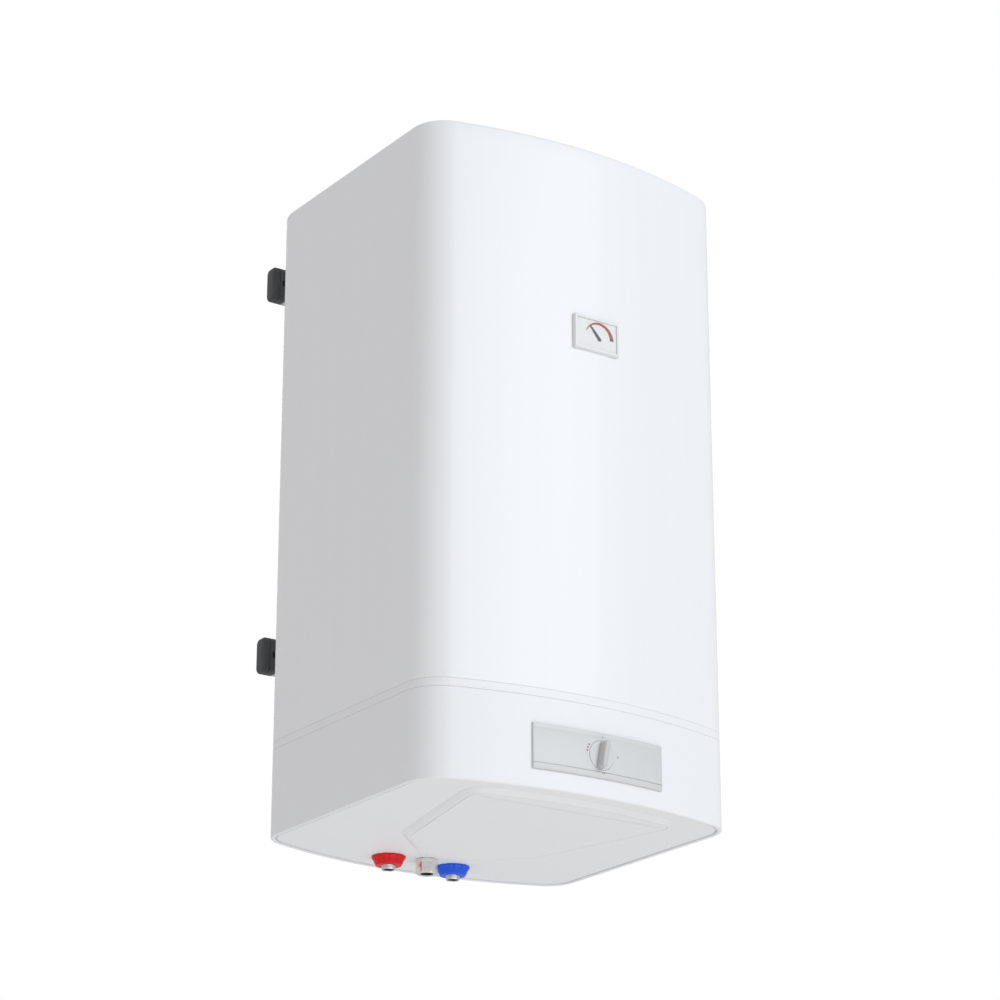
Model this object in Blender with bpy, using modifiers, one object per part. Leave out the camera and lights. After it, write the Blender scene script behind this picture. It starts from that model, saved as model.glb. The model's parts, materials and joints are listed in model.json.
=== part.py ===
"""Wall-hung electric tank water heater, built from its separate pieces.

Metres, +Z up, +Y towards the wall. The origin is the middle of the upper wall rail's back face.
Every piece is modelled in the casing's own frame (origin at the middle of the casing's plan, on its
lower edge) and hangs from one empty, which carries that frame to its place on the wall.
"""
import math

import bmesh
import bpy
from mathutils import Matrix, Vector

# ---- casing ----
WIDTH = 0.520
DEPTH = 0.512
HEIGHT = 0.975
FRONT_CROWN = 0.045         # how far the front bulges between its corners
REAR_CROWN = 0.055
FRONT_CORNER = 0.055        # plan radius of the two front corners
REAR_CORNER = 0.050
SKIRT_TOP = 0.128           # height of the lower plastic cover
BAND_HEIGHT = 0.012
TONGUE_REACH = 0.014        # the band's tongue reaches this far up and down behind its neighbours
TONGUE_THICK = 0.002
SKIRT_WALL = 0.003
SHEET = 0.0008              # painted steel sheet
TOP_EDGE = 0.006            # radius of the jacket's rolled top edge
TOP_LIP = 0.014
RIM_LIP = 0.0065            # the skirt's turned-in lower lip
RIM_GROOVE = 0.003          # open joint between that lip and the bottom plate
RIM_ROUND = 0.004
LEDGE_WIDTH = 0.0175
LEDGE_CLEAR = 0.001         # from the ledge to what stands beside it
PLATE_RECESS = 0.0015
PLATE_THICK = 0.003
LID_THICK = 0.0027
FOAM_START = 0.018          # foam starts this far above the joint band
GAP = 0.0003                # between pieces that touch
SEAM = 0.0008               # open joint either side of the band

# ---- service panel under the heater ----
SERVICE_FRONT_INSET = 0.028     # from the casing's front
SERVICE_SIDE_INSET = 0.074      # from the casing's side to the panel's front corners
SERVICE_CORNER_BACK = 0.056     # from the casing's front back to those corners
SERVICE_WAIST_HALF = 0.120
SERVICE_WAIST_RUN = 0.069       # from the waist back to the rear corners
SERVICE_REAR_HALF = 0.052
SERVICE_REAR_CLEAR = 0.063      # from the rear corners to the line of the water pipes
SERVICE_REAR_BOW = 0.010
SERVICE_CORNER = 0.022          # width of the panel's round front corners
SERVICE_DROP = 0.0065
SERVICE_BEVEL = 0.0095
SERVICE_WALL = 0.0025
SERVICE_FLANGE = 0.014          # how far the panel overlaps the plate round its opening

# ---- water tank ----
INSULATION = 0.030          # least thickness of the foam round the tank
TANK_WALL = 0.0025
TANK_SHOULDER = 0.205       # height of the lower end of the straight shell
TANK_HEADROOM = 0.092       # from the upper end of the straight shell to the casing's top
DISH_DEPTH = 0.055
NECK_RADIUS = 0.060
NECK_MARGIN = 0.010         # the dished end's points stop this far short of the neck
NECK_BOTTOM = 0.108
FLANGE_RADIUS = 0.088
FLANGE_RING = 0.010
FLANGE_THICK = 0.005
GASKET_THICK = 0.003
BOLT_CIRCLE = 0.075
BOLT_COUNT = 5
BOLT_RADIUS = 0.005
BOLT_HEAD = 0.0064
BOLT_FLATS = 0.016

# ---- what stands in the tank ----
HEATER_HALF_PITCH = 0.012
HEATER_X = 0.034
HEATER_RADIUS = 0.00425
HEATER_TOP = 0.420
HEATER_PIN = 0.016          # how far the elements' ends stand below the flange
ANODE_Y = 0.028
ANODE_RADIUS = 0.011
ANODE_TOP = 0.500
ANODE_STUD = 0.004
ANODE_STANDOFF = 0.020      # from the flange to the rod's thick part
ANODE_STUD_BELOW = 0.012
POCKET_Y = -0.024
POCKET_BORE = 0.0073
POCKET_WALL = 0.0012
POCKET_TOP = 0.360
BULB_RADIUS = 0.003
CAPILLARY_RADIUS = 0.001
BULB_CIRCLE = 0.0039
BULB_LENGTH = 0.080

# ---- water connections ----
PORT_PITCH = 0.056
SPARE_FORWARD = 0.016       # the circulation socket sits this far in front of the two pipes
PORT_INSET = 0.028          # from the outer pipes' axes to the tank's side
PORT_CLEAR = 0.0008         # round the pipes in the bottom plate
PIPE_RADIUS = 0.0105
PIPE_BORE = 0.0078
PIPE_DROP = 0.0185          # how far the pipes stand out below the casing
COLD_PIPE_TOP = 0.230
SPARE_PIPE_TOP = 0.235
HOT_PIPE_CLEARANCE = 0.030  # from the hot pipe's mouth to the top of the tank
HEX_FLATS = 0.0290
HEX_DROP = 0.0205
HEX_CHAMFER = 0.0015
SOCKET_BORE = 0.0099        # radius of the hexagonal collar's threaded mouth
SOCKET_DEPTH = 0.010
ROSETTE_RIM = 0.0250
ROSETTE_NECK = 0.0160
ROSETTE_HEIGHT = 0.0135
ROSETTE_WALL = 0.0016
ROSETTE_BRIM = 0.002        # height of the cylindrical part against the plate

# ---- wall rails ----
UPPER_RAIL_DOWN = 0.077     # from the casing's top to the middle of the upper rail
LOWER_RAIL_UP = 0.2975      # from the casing's lower edge to the middle of the lower rail
RAIL_STANDOFF = 0.006       # from the casing's back to the rails
RAIL_END = 0.0485            # each end of a rail is this far inside the casing's side
RAIL_TALL = 0.050
RAIL_DEEP = 0.022
RAIL_WALL = 0.002
CAP_OVER = 0.002            # the caps stand this far over the rail all round
CAP_HEAD = 0.0235
CAP_PLUG = 0.018
CAP_ROUND = 0.008
CAP_SOFT = 0.002            # bevel round the cap's end
STUD_RADIUS = 0.006
STUD_COLLAR = 0.010
COLLAR_CLEAR = 0.001        # from the casing's back to the collar
STUD_ROOT = 0.010           # the stud's blank reaches this far into the tank before it is trimmed
STUD_THREAD = 0.012         # thread beyond the rail's front wall
STUD_CLEAR = 0.0005         # round the studs in the jacket and the rails
NUT_FLATS = 0.018
NUT_THICK = 0.008
ACCESS_RADIUS = 0.014
SLOT_END = 0.044            # from the rail's end to the middle of its slot
SLOT_TO_STUD = 0.070
SLOT_WIDTH = 0.034
SLOT_TALL = 0.012
SLOT_ROUND = 0.0055

# ---- thermometer ----
GAUGE_DOWN = 0.295          # from the casing's top to the middle of the thermometer
GAUGE_WIDTH = 0.079
GAUGE_TALL = 0.053
GAUGE_PROUD = 0.005
GAUGE_FRAME = 0.0045        # width of the bezel's frame
GAUGE_CHAMFER = 0.0018
GAUGE_CORNER = 0.0025
GAUGE_SKIRT = 0.006         # depth of the bezel's blank before it is trimmed to the casing
GAUGE_BOX_INSET = 0.0015    # the housing is this much smaller than the window
GAUGE_BOX_DEPTH = 0.016
GAUGE_BOX_WALL = 0.0015
DIAL_RECESS = 0.0038
DIAL_THICK = 0.001
LENS_RECESS = 0.0008
LENS_THICK = 0.0012
NEEDLE_X = 0.005
NEEDLE_DZ = -0.006
NEEDLE_CLEAR = 0.0025       # between the upright needle's tip and the bezel
NEEDLE_ROOT = 0.0022
NEEDLE_THICK = 0.0006
NEEDLE_LEAN = math.radians(41)      # needle's lean to the left of upright
NEEDLE_AXLE = 0.0008

# ---- control panel ----
PANEL_Z = 0.0585
PANEL_WIDTH = 0.217
PANEL_TALL = 0.064
PANEL_THICK = 0.003
PANEL_REBATE = 0.009        # at each end the skirt's opening is this much shorter
KNOB_RADIUS = 0.0205
KNOB_THICK = 0.004
KNOB_GAP = 0.0004
KNOB_CLEAR = 0.0025         # from the knob up and down to the edge of the skirt's opening
KNOB_PROUD = 0.0004
HUB_RADIUS = 0.0065
HUB_LENGTH = 0.013
GRIP_SHORT = 0.00075        # the grip ends this far inside the knob's edge
GRIP_FOOT = 0.0125          # the grip's width where it meets the disc
GRIP_WIDTH = 0.0085
GRIP_TALL = 0.012
GRIP_SOFT = 0.001           # bevel round the grip's outer face
GRIP_LEAN = math.radians(11)        # the grip's lean to the right of upright
SHAFT_RADIUS = 0.003
SHAFT_RUNNING = 0.00006
SHAFT_SEAT = 0.010
SHAFT_CLEAR = 0.002         # round the shaft in the bracket

# ---- electrics behind the control panel ----
BRACKET_BACK = 0.0415       # from the front of the casing to the bracket's back face
BRACKET_THICK = 0.0015
BRACKET_HALF = 0.075
BRACKET_TOP = 0.094
THERMOSTAT_SIZE = (0.042, 0.034, 0.038)
CUTOUT_SIZE = (0.032, 0.028, 0.032)
CUTOUT_X = 0.048
CUTOUT_Z = 0.046
BUTTON_RADIUS = 0.004
BUTTON_OUT = 0.006
BUTTON_IN = 0.005
BUTTON_TRAVEL = 0.0025
BUTTON_GAP = 0.00015
BLOCK_SIZE = (0.040, 0.024, 0.022)
BLOCK_X = -0.050
BLOCK_Z = 0.055
WIRE_RADIUS = 0.0013
WIRE_GAP = 0.0012           # a wire's slanted end stays clear of its terminal
GROMMET_Z = 0.070
GROMMET_RADIUS = 0.008
GROMMET_BORE = 0.0045
GROMMET_FLANGE = 0.0115

# ---- smoothness ----
CORNER_STEPS = 5
CROWN_STEPS = 10
PANEL_STEPS = 12
ROUND_STEPS = 18
TANK_STEPS = 32
KNOB_STEPS = 32
NUT_STEPS = 12
DISH_STEPS = 5

FRONT = -DEPTH / 2
BACK = DEPTH / 2
BAND_TOP = SKIRT_TOP + BAND_HEIGHT
PLATE_TOP = PLATE_RECESS + PLATE_THICK
LEDGE_BOTTOM = PLATE_TOP + GAP
TANK_RADIUS = min(WIDTH, DEPTH) / 2 - INSULATION
TANK_TOP_SHOULDER = HEIGHT - TANK_HEADROOM
PORT_Y = math.sqrt((TANK_RADIUS - PORT_INSET)**2 - PORT_PITCH**2)
SPARE_Y = PORT_Y - SPARE_FORWARD
PORT_PLACES = ((-PORT_PITCH, PORT_Y), (0, SPARE_Y), (PORT_PITCH, PORT_Y))
SERVICE_REAR_Y = PORT_Y - SERVICE_REAR_CLEAR
BRACKET_Y = FRONT + BRACKET_BACK
UPPER_RAIL_Z = HEIGHT - UPPER_RAIL_DOWN
RAIL_FRONT = BACK + RAIL_STANDOFF
WALL = RAIL_FRONT + RAIL_DEEP
RAIL_HALF = WIDTH / 2 - RAIL_END
SLOT_X = RAIL_HALF - SLOT_END
STUD_X = SLOT_X - SLOT_TO_STUD
GAUGE_Z = HEIGHT - GAUGE_DOWN
FLANGE_TOP = NECK_BOTTOM - 2 * GAP - GASKET_THICK
FLANGE_BOTTOM = FLANGE_TOP - FLANGE_THICK


# ---- scene, materials and helpers ----

def clear_scene():
    for item in list(bpy.data.objects):
        bpy.data.objects.remove(item, do_unlink=True)


def new_collection(name):
    collection = bpy.data.collections.new(name)
    bpy.context.scene.collection.children.link(collection)
    return collection


def make_material(name, color, roughness, metallic=0.0, alpha=1.0):
    look = bpy.data.materials.new(name)
    look.use_nodes = True
    shader = look.node_tree.nodes["Principled BSDF"]
    shader.inputs["Base Color"].default_value = (*color, 1.0)
    shader.inputs["Roughness"].default_value = roughness
    shader.inputs["Metallic"].default_value = metallic
    shader.inputs["Alpha"].default_value = alpha
    look.diffuse_color = (*color, alpha)
    return look


def place(name, mesh, look, location=(0, 0, 0), rotation=(0, 0, 0)):
    """Put a mesh or curve in the heater's frame as a sub-part."""
    item = bpy.data.objects.new(name, mesh)
    PARTS.objects.link(item)
    item.parent = FRAME
    item.location = location
    item.rotation_euler = rotation
    mesh.materials.append(look)
    return item


def place_cutter(name, mesh, location=(0, 0, 0), rotation=(0, 0, 0)):
    item = bpy.data.objects.new(name, mesh)
    CUTTERS.objects.link(item)
    item.parent = FRAME
    item.location = location
    item.rotation_euler = rotation
    item.display_type = "WIRE"
    item.hide_render = True
    return item


def cut(item, *cutters):
    for cutter in cutters:
        boolean = item.modifiers.new("cut_" + cutter.name, "BOOLEAN")
        boolean.operation = "DIFFERENCE"
        boolean.object = cutter


def smooth(mesh, degrees=35):
    mesh.shade_smooth()
    mesh.set_sharp_from_angle(angle=math.radians(degrees))


def loft_mesh(name, loops, ring=False):
    """Skin closed loops of equal length: capped at both ends, or joined end to start as a ring."""
    bm = bmesh.new()
    rows = [[bm.verts.new(point) for point in loop] for loop in loops]
    count = len(rows[0])
    pairs = list(zip(rows, rows[1:]))
    if ring:
        pairs.append((rows[-1], rows[0]))
    else:
        bm.faces.new(rows[0])
        bm.faces.new(rows[-1])
    for low, high in pairs:
        for i in range(count):
            j = (i + 1) % count
            bm.faces.new((low[i], low[j], high[j], high[i]))
    bmesh.ops.recalc_face_normals(bm, faces=bm.faces)
    mesh = bpy.data.meshes.new(name)
    bm.to_mesh(mesh)
    bm.free()
    smooth(mesh)
    return mesh


def at_height(outline, z):
    return [(x, y, z) for x, y in outline]


def at_depth(outline, y):
    """An outline drawn in X and Z, seen from the front, set at the depth y."""
    return [(x, y, z) for x, z in outline]


def at_side(outline, x):
    """An outline drawn in Y and Z, set at the side x."""
    return [(x, y, z) for y, z in outline]


def box_mesh(name, size):
    bm = bmesh.new()
    bmesh.ops.create_cube(bm, size=1.0)
    bmesh.ops.scale(bm, vec=Vector(size), verts=bm.verts)
    mesh = bpy.data.meshes.new(name)
    bm.to_mesh(mesh)
    bm.free()
    return mesh


def rod_mesh(name, radius, length, steps=ROUND_STEPS):
    bm = bmesh.new()
    bmesh.ops.create_cone(bm, cap_ends=True, segments=steps, radius1=radius, radius2=radius,
                          depth=length)
    mesh = bpy.data.meshes.new(name)
    bm.to_mesh(mesh)
    bm.free()
    smooth(mesh)
    return mesh


def facing_front():
    """Turns a shape's own Z axis to point out of the heater's front."""
    return (math.pi / 2, 0, 0)


def turned_mesh(name, profile, closed=False):
    """The outline of a turned shape, in its X-Z plane, for a Screw modifier to sweep."""
    mesh = bpy.data.meshes.new(name)
    points = [(radius, 0, z) for radius, z in profile]
    edges = [(i, i + 1) for i in range(len(points) - 1)]
    if closed:
        edges.append((len(points) - 1, 0))
    mesh.from_pydata(points, edges, [])
    return mesh


def sweep_round(item, steps=ROUND_STEPS):
    screw = item.modifiers.new("turned", "SCREW")
    screw.axis = "Z"
    screw.steps = steps
    screw.render_steps = steps
    screw.use_merge_vertices = True
    screw.merge_threshold = 0.00001
    screw.use_smooth_shade = True
    return item


def tube(name, points, radius, look, radii=None):
    """A round wire or pipe along a list of points, as a poly curve with filled ends."""
    curve = bpy.data.curves.new(name, "CURVE")
    curve.dimensions = "3D"
    curve.bevel_depth = radius
    curve.bevel_resolution = 1
    curve.use_fill_caps = True
    spline = curve.splines.new("POLY")
    spline.points.add(len(points) - 1)
    for i, point in enumerate(points):
        spline.points[i].co = (*point, 1)
        spline.points[i].radius = radii[i] if radii else 1.0
    return place(name, curve, look)


def smooth_route(stops, per_span=5):
    """Points along a Catmull-Rom curve through the stops of a wire."""
    stops = [Vector(stop) for stop in stops]
    ends = [2 * stops[0] - stops[1]] + stops + [2 * stops[-1] - stops[-2]]
    route = []
    for a, b, c, d in zip(ends, ends[1:], ends[2:], ends[3:]):
        for i in range(per_span):
            t = i / per_span
            route.append(0.5 * (2 * b + (c - a) * t + (2 * a - 5 * b + 4 * c - d) * t**2
                                + (3 * b - a - 3 * c + d) * t**3))
    route.append(stops[-1])
    return route


def arc(centre, radius, start, end, steps):
    points = []
    for i in range(steps + 1):
        angle = start + (end - start) * i / steps
        points.append((centre[0] + radius * math.cos(angle), centre[1] + radius * math.sin(angle)))
    return points


def round_loop(radius, steps=ROUND_STEPS):
    turn = 2 * math.pi / steps
    return [(radius * math.cos(turn * i), radius * math.sin(turn * i)) for i in range(steps)]


def hex_loop(flats, steps=ROUND_STEPS):
    """A hexagon's outline as a loop of steps points, so that it lofts to a circle."""
    points = []
    for i in range(steps):
        angle = 2 * math.pi * i / steps
        from_flat = (angle % (math.pi / 3)) - math.pi / 6
        reach = flats / 2 / math.cos(from_flat)
        points.append((reach * math.cos(angle), reach * math.sin(angle)))
    return points


def round_rectangle(width, height, radius, steps=2):
    points = []
    for sx, sy, start in ((1, 1, 0), (-1, 1, 90), (-1, -1, 180), (1, -1, 270)):
        centre = (sx * (width / 2 - radius), sy * (height / 2 - radius))
        points += arc(centre, radius, math.radians(start), math.radians(start + 90), steps)
    return points


# ---- outlines ----

def crown(sagitta):
    """Radius and centre of the arc that bulges by sagitta across the casing's width."""
    half = WIDTH / 2
    radius = (half**2 + sagitta**2) / (2 * sagitta)
    return radius, DEPTH / 2 - radius


def casing_outline(inset=0.0):
    """The casing's plan, drawn inset from its surface: two bulging faces with round corners."""
    outline = []
    for facing, sagitta, corner in ((1, REAR_CROWN, REAR_CORNER), (-1, FRONT_CROWN, FRONT_CORNER)):
        radius, centre = crown(sagitta)
        corner_x = WIDTH / 2 - corner
        corner_y = centre + math.sqrt((radius - corner)**2 - corner_x**2)
        lean = math.atan2(corner_y - centre, corner_x)
        half = arc((corner_x, corner_y), corner - inset, 0, lean, CORNER_STEPS)
        half += arc((0, centre), radius - inset, lean, math.pi - lean, CROWN_STEPS)[1:-1]
        half += arc((-corner_x, corner_y), corner - inset, math.pi - lean, math.pi, CORNER_STEPS)
        outline += [(facing * x, facing * y) for x, y in half]
    return outline


def front_y(x, outward=0.0):
    """Where the casing's front surface is at the side x."""
    radius, centre = crown(FRONT_CROWN)
    return -(centre + math.sqrt((radius + outward)**2 - x**2))


def service_outline(inset=0.0):
    """The service panel's plan: a bowed front, tapering sides, cut-off rear corners, a bowed rear."""
    radius, centre = crown(FRONT_CROWN)
    front_radius = radius - SERVICE_FRONT_INSET - inset
    front_end = Vector((WIDTH / 2 - SERVICE_SIDE_INSET, FRONT + SERVICE_CORNER_BACK))
    waist_end = Vector((SERVICE_WAIST_HALF, SERVICE_REAR_Y - SERVICE_WAIST_RUN))
    rear_end = Vector((SERVICE_REAR_HALF, SERVICE_REAR_Y))
    side = square_to(front_end - waist_end)
    shoulder = square_to(waist_end - rear_end)
    rear_radius = (SERVICE_REAR_HALF**2 + SERVICE_REAR_BOW**2) / (2 * SERVICE_REAR_BOW)
    rear_centre = SERVICE_REAR_Y + SERVICE_REAR_BOW - rear_radius
    waist = meet(waist_end, side, shoulder, inset)
    front_corner = front_end - side * inset
    spread = math.asin(SERVICE_REAR_HALF / rear_radius) * (1 - inset / SERVICE_REAR_HALF / 2)
    rear = arc((0, rear_centre), rear_radius - inset, math.pi / 2 - spread, math.pi / 2 + spread, 6)
    front_half = front_corner.x - SERVICE_CORNER
    reach = math.asin(front_half / front_radius)
    front = arc((0, -centre), front_radius, -math.pi / 2 - reach, -math.pi / 2 + reach, 8)
    right = bend(Vector(front[-1]), front_corner, waist, 4) + [tuple(waist)]
    left = [(-x, y) for x, y in reversed(right)]
    return front + right + rear + left


def square_to(edge):
    """The direction at right angles to an edge, pointing out of the panel."""
    return Vector((-edge.y, edge.x)).normalized()


def meet(corner, normal_a, normal_b, inset):
    """Moves a corner inward so that both of its edges are offset by inset."""
    return corner - (normal_a + normal_b) * (inset / (1 + normal_a.dot(normal_b)))


def bend(start, corner, toward, steps):
    """A round corner: a quadratic curve from start round the corner towards the next point."""
    end = corner + (toward - corner) * 0.12
    corner = Vector((corner.x, start.y + (corner.y - start.y) * 0.6))
    points = []
    for i in range(1, steps + 1):
        t = i / steps
        points.append(tuple((1 - t)**2 * start + 2 * t * (1 - t) * corner + t**2 * end))
    return points


# ---- casing pieces ----

def casing_ring(name, section, look):
    """A wall that runs right round the casing, from its section as (inset, height) points."""
    loops = [at_height(casing_outline(inset), z) for inset, z in section]
    return place(name, loft_mesh(name, loops, ring=True), look)


def casing_block(name, levels, look):
    loops = [at_height(casing_outline(inset), z) for inset, z in levels]
    return place(name, loft_mesh(name, loops), look)


def make_jacket():
    centre = (0, HEIGHT - TOP_EDGE)
    roll = [(TOP_EDGE - x, z) for x, z in arc(centre, TOP_EDGE, 0, math.pi / 2, 4)]
    inner = [(TOP_EDGE - x, z) for x, z in arc(centre, TOP_EDGE - SHEET, math.pi / 2, 0, 4)]
    section = [(0, BAND_TOP + SEAM)] + roll + [(TOP_LIP, HEIGHT), (TOP_LIP, HEIGHT - SHEET)]
    section += inner + [(SHEET, BAND_TOP + SEAM)]
    jacket = casing_ring("upper_jacket", section, PAINTED_STEEL)
    cut(jacket, gauge_box_cutter("gauge_window_cutter", GAP, 0.03, 0.02))
    cut(jacket, *stud_cutters("jacket_stud_cutter", STUD_RADIUS + STUD_CLEAR, BACK - 0.02, 0.04))
    return jacket


def make_top_cover():
    top = HEIGHT - SHEET - GAP
    return casing_block("top_cover", [(TOP_EDGE, top - LID_THICK), (TOP_EDGE, top)], PAINTED_STEEL)


def make_joint_band():
    low, high = SKIRT_TOP + SEAM, BAND_TOP
    tongue = SKIRT_WALL + GAP
    back = tongue + TONGUE_THICK
    upper, lower = high + TONGUE_REACH, low - TONGUE_REACH
    section = [(GAP, low), (GAP, high), (tongue, high), (tongue, upper), (back, upper), (back, lower),
               (tongue, lower), (tongue, low)]
    return casing_ring("joint_band", section, WHITE_PLASTIC)


def make_skirt():
    outer = [(RIM_ROUND - RIM_ROUND * math.cos(t), RIM_ROUND - RIM_ROUND * math.sin(t))
             for t in (0, math.pi / 6, math.pi / 3, math.pi / 2)]
    ledge_top = LEDGE_BOTTOM + SKIRT_WALL
    section = [(0, SKIRT_TOP)] + outer + [(RIM_LIP, 0), (RIM_LIP, LEDGE_BOTTOM),
                                          (RIM_LIP + LEDGE_WIDTH, LEDGE_BOTTOM),
                                          (RIM_LIP + LEDGE_WIDTH, ledge_top),
                                          (SKIRT_WALL, ledge_top), (SKIRT_WALL, SKIRT_TOP)]
    skirt = casing_ring("lower_skirt", section, WHITE_PLASTIC)
    window = box_mesh("panel_window", (PANEL_WIDTH - 2 * PANEL_REBATE, 0.06,
                                       2 * (KNOB_RADIUS + KNOB_CLEAR)))
    cut(skirt, place_cutter("panel_window_cutter", window, (0, FRONT, PANEL_Z)))
    hole = rod_mesh("cable_hole", GROMMET_RADIUS + GAP, 0.03)
    cut(skirt, place_cutter("cable_hole_cutter", hole, (0, BACK, GROMMET_Z), facing_front()))
    return skirt


def make_bottom_plate():
    inset = RIM_LIP + RIM_GROOVE
    plate = casing_block("bottom_plate", [(inset, PLATE_RECESS), (inset, PLATE_TOP)], WHITE_PLASTIC)
    opening = [at_height(service_outline(SERVICE_FLANGE), z) for z in (-0.02, 0.02)]
    cut(plate, place_cutter("service_opening_cutter", loft_mesh("service_opening", opening)))
    for x, y in PORT_PLACES:
        hole = rod_mesh("port_hole", PIPE_RADIUS + PORT_CLEAR, 0.03)
        cut(plate, place_cutter("port_hole_cutter", hole, (x, y, PLATE_RECESS)))
    return plate


def make_service_panel():
    top = PLATE_RECESS - GAP
    low = top - SERVICE_DROP
    outer = [at_height(service_outline(SERVICE_BEVEL), low), at_height(service_outline(), top)]
    inner = [at_height(service_outline(SERVICE_WALL), top),
             at_height(service_outline(SERVICE_BEVEL + SERVICE_WALL * 0.6), low + SERVICE_WALL)]
    return place("service_panel", loft_mesh("service_panel", outer + inner), WHITE_PLASTIC)


# ---- tank and foam ----

def dish_profile(shoulder, depth_sign, radius, depth):
    """A dished end from its edge in to the axis: a quarter of an ellipse with a flattened crown."""
    points = []
    for i in range(DISH_STEPS + 1):
        t = math.pi / 2 * i / DISH_STEPS
        points.append((radius * math.cos(t)**0.8, shoulder + depth_sign * depth * math.sin(t)**0.9))
    points[-1] = (0.0, shoulder + depth_sign * depth)
    return points


def neck_height(radius, depth):
    """Height at which the lower dished end meets the neck."""
    t = math.acos((NECK_RADIUS / radius)**1.25)
    return TANK_SHOULDER - depth * math.sin(t)**0.9


def tank_outer(grow=0.0):
    """The tank's outside, from the top of its axis down to the foot of its neck."""
    radius = TANK_RADIUS + grow
    depth = DISH_DEPTH + grow
    top = list(reversed(dish_profile(TANK_TOP_SHOULDER, 1, radius, depth)))
    neck = NECK_RADIUS + TANK_WALL + grow
    return top + lower_dish(radius, depth) + [(neck, neck_height(radius, depth))]


def lower_dish(radius, depth):
    """The lower dished end, as far in as the neck."""
    dish = dish_profile(TANK_SHOULDER, -1, radius, depth)
    return [point for point in dish if point[0] > NECK_RADIUS + NECK_MARGIN]


def make_tank():
    ring_top = NECK_BOTTOM + FLANGE_RING
    inner_radius, inner_depth = TANK_RADIUS - TANK_WALL, DISH_DEPTH - TANK_WALL
    outer = tank_outer() + [(NECK_RADIUS + TANK_WALL, ring_top), (FLANGE_RADIUS, ring_top),
                            (FLANGE_RADIUS, NECK_BOTTOM)]
    inner = [(NECK_RADIUS, NECK_BOTTOM), (NECK_RADIUS, neck_height(inner_radius, inner_depth))]
    inner += list(reversed(lower_dish(inner_radius, inner_depth)))
    inner += dish_profile(TANK_TOP_SHOULDER, 1, inner_radius, inner_depth)
    tank = sweep_round(place("water_tank", turned_mesh("water_tank", outer + inner), ENAMEL), TANK_STEPS)
    cut(tank, *port_cutters("tank_port_cutter", GAP), *bolt_cutters("tank_bolt_cutter"))
    return tank


def port_cutters(name, clearance):
    """Holes for the three water pipes through the tank's lower end."""
    cutters = []
    for x, y in PORT_PLACES:
        hole = rod_mesh("pipe_hole", PIPE_RADIUS + clearance, 0.20)
        cutters.append(place_cutter(name, hole, (x, y, 0.150)))
    return cutters


def stud_cutters(name, radius, middle, length):
    """Holes along Y for the four hanger studs."""
    cutters = []
    for x, z in stud_places():
        hole = rod_mesh("stud_hole", radius, length)
        cutters.append(place_cutter(name, hole, (x, middle, z), facing_front()))
    return cutters


def stud_root():
    """Where the studs' blanks start inside the tank, before they are trimmed to its side."""
    return math.sqrt(TANK_RADIUS**2 - STUD_X**2) - STUD_ROOT


def stud_places():
    heights = (UPPER_RAIL_Z, LOWER_RAIL_UP)
    return [(x, z) for z in heights for x in (-STUD_X, STUD_X)]


def bolt_cutters(name):
    cutters = []
    for i in range(BOLT_COUNT):
        hole = rod_mesh("bolt_hole", BOLT_RADIUS + GAP, 0.035, NUT_STEPS)
        cutters.append(place_cutter(name, hole, (*bolt_place(i), NECK_BOTTOM)))
    return cutters


def bolt_place(i):
    angle = 2 * math.pi * (i + 0.5) / BOLT_COUNT
    return BOLT_CIRCLE * math.cos(angle), BOLT_CIRCLE * math.sin(angle)


def make_foam():
    low = BAND_TOP + FOAM_START
    high = HEIGHT - SHEET - 2 * GAP - LID_THICK
    inset = SHEET + GAP
    levels = [(inset, low), (inset, HEIGHT - TOP_EDGE - 0.001), (TOP_EDGE, high)]
    foam = casing_block("foam_insulation", levels, FOAM)
    below = low - 0.05
    foot = [(NECK_RADIUS + TANK_WALL + GAP, below), (0.0, below)]
    cavity = turned_mesh("tank_cavity", tank_outer(GAP) + foot)
    cut(foam, sweep_round(place_cutter("tank_cavity_cutter", cavity), TANK_STEPS))
    cut(foam, *port_cutters("foam_port_cutter", 2 * GAP))
    root, end = stud_root() - GAP, BACK + 0.02
    cut(foam, *stud_cutters("foam_stud_cutter", STUD_RADIUS + GAP, (root + end) / 2, end - root))
    cut(foam, gauge_box_cutter("foam_gauge_cutter", 2 * GAP, GAUGE_BOX_DEPTH + 0.004, 0.01))
    slot_top = GAUGE_Z - GAUGE_TALL / 2
    slot = box_mesh("capillary_slot", (0.010, 0.022, slot_top - low + 0.040))
    cut(foam, place_cutter("capillary_slot_cutter", slot, (0, FRONT + 0.010, (slot_top + low) / 2)))
    return foam


# ---- flange and what it carries ----

def flange_disc(name, thickness, middle, inner, look):
    disc = rod_mesh(name, FLANGE_RADIUS, thickness, TANK_STEPS)
    item = place(name, disc, look, (0, 0, middle))
    cut(item, *bolt_cutters(name + "_bolt_cutter"))
    if inner:
        bore = rod_mesh("bore", inner, 0.02, TANK_STEPS)
        cut(item, place_cutter(name + "_bore_cutter", bore, (0, 0, middle)))
    return item


def make_flange():
    middle = FLANGE_TOP - FLANGE_THICK / 2
    plate = flange_disc("flange_plate", FLANGE_THICK, middle, 0, ZINC_STEEL)
    holes = [(x, y, HEATER_RADIUS) for x in (-HEATER_X, HEATER_X)
             for y in (-HEATER_HALF_PITCH, HEATER_HALF_PITCH)]
    holes += [(0, ANODE_Y, ANODE_STUD), (0, POCKET_Y, POCKET_BORE + POCKET_WALL)]
    for x, y, radius in holes:
        hole = rod_mesh("fitting_hole", radius + GAP, 0.03, NUT_STEPS * 2)
        cut(plate, place_cutter("fitting_hole_cutter", hole, (x, y, middle)))
    gasket_middle = FLANGE_TOP + GAP + GASKET_THICK / 2
    flange_disc("flange_gasket", GASKET_THICK, gasket_middle, NECK_RADIUS, RUBBER)


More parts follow.
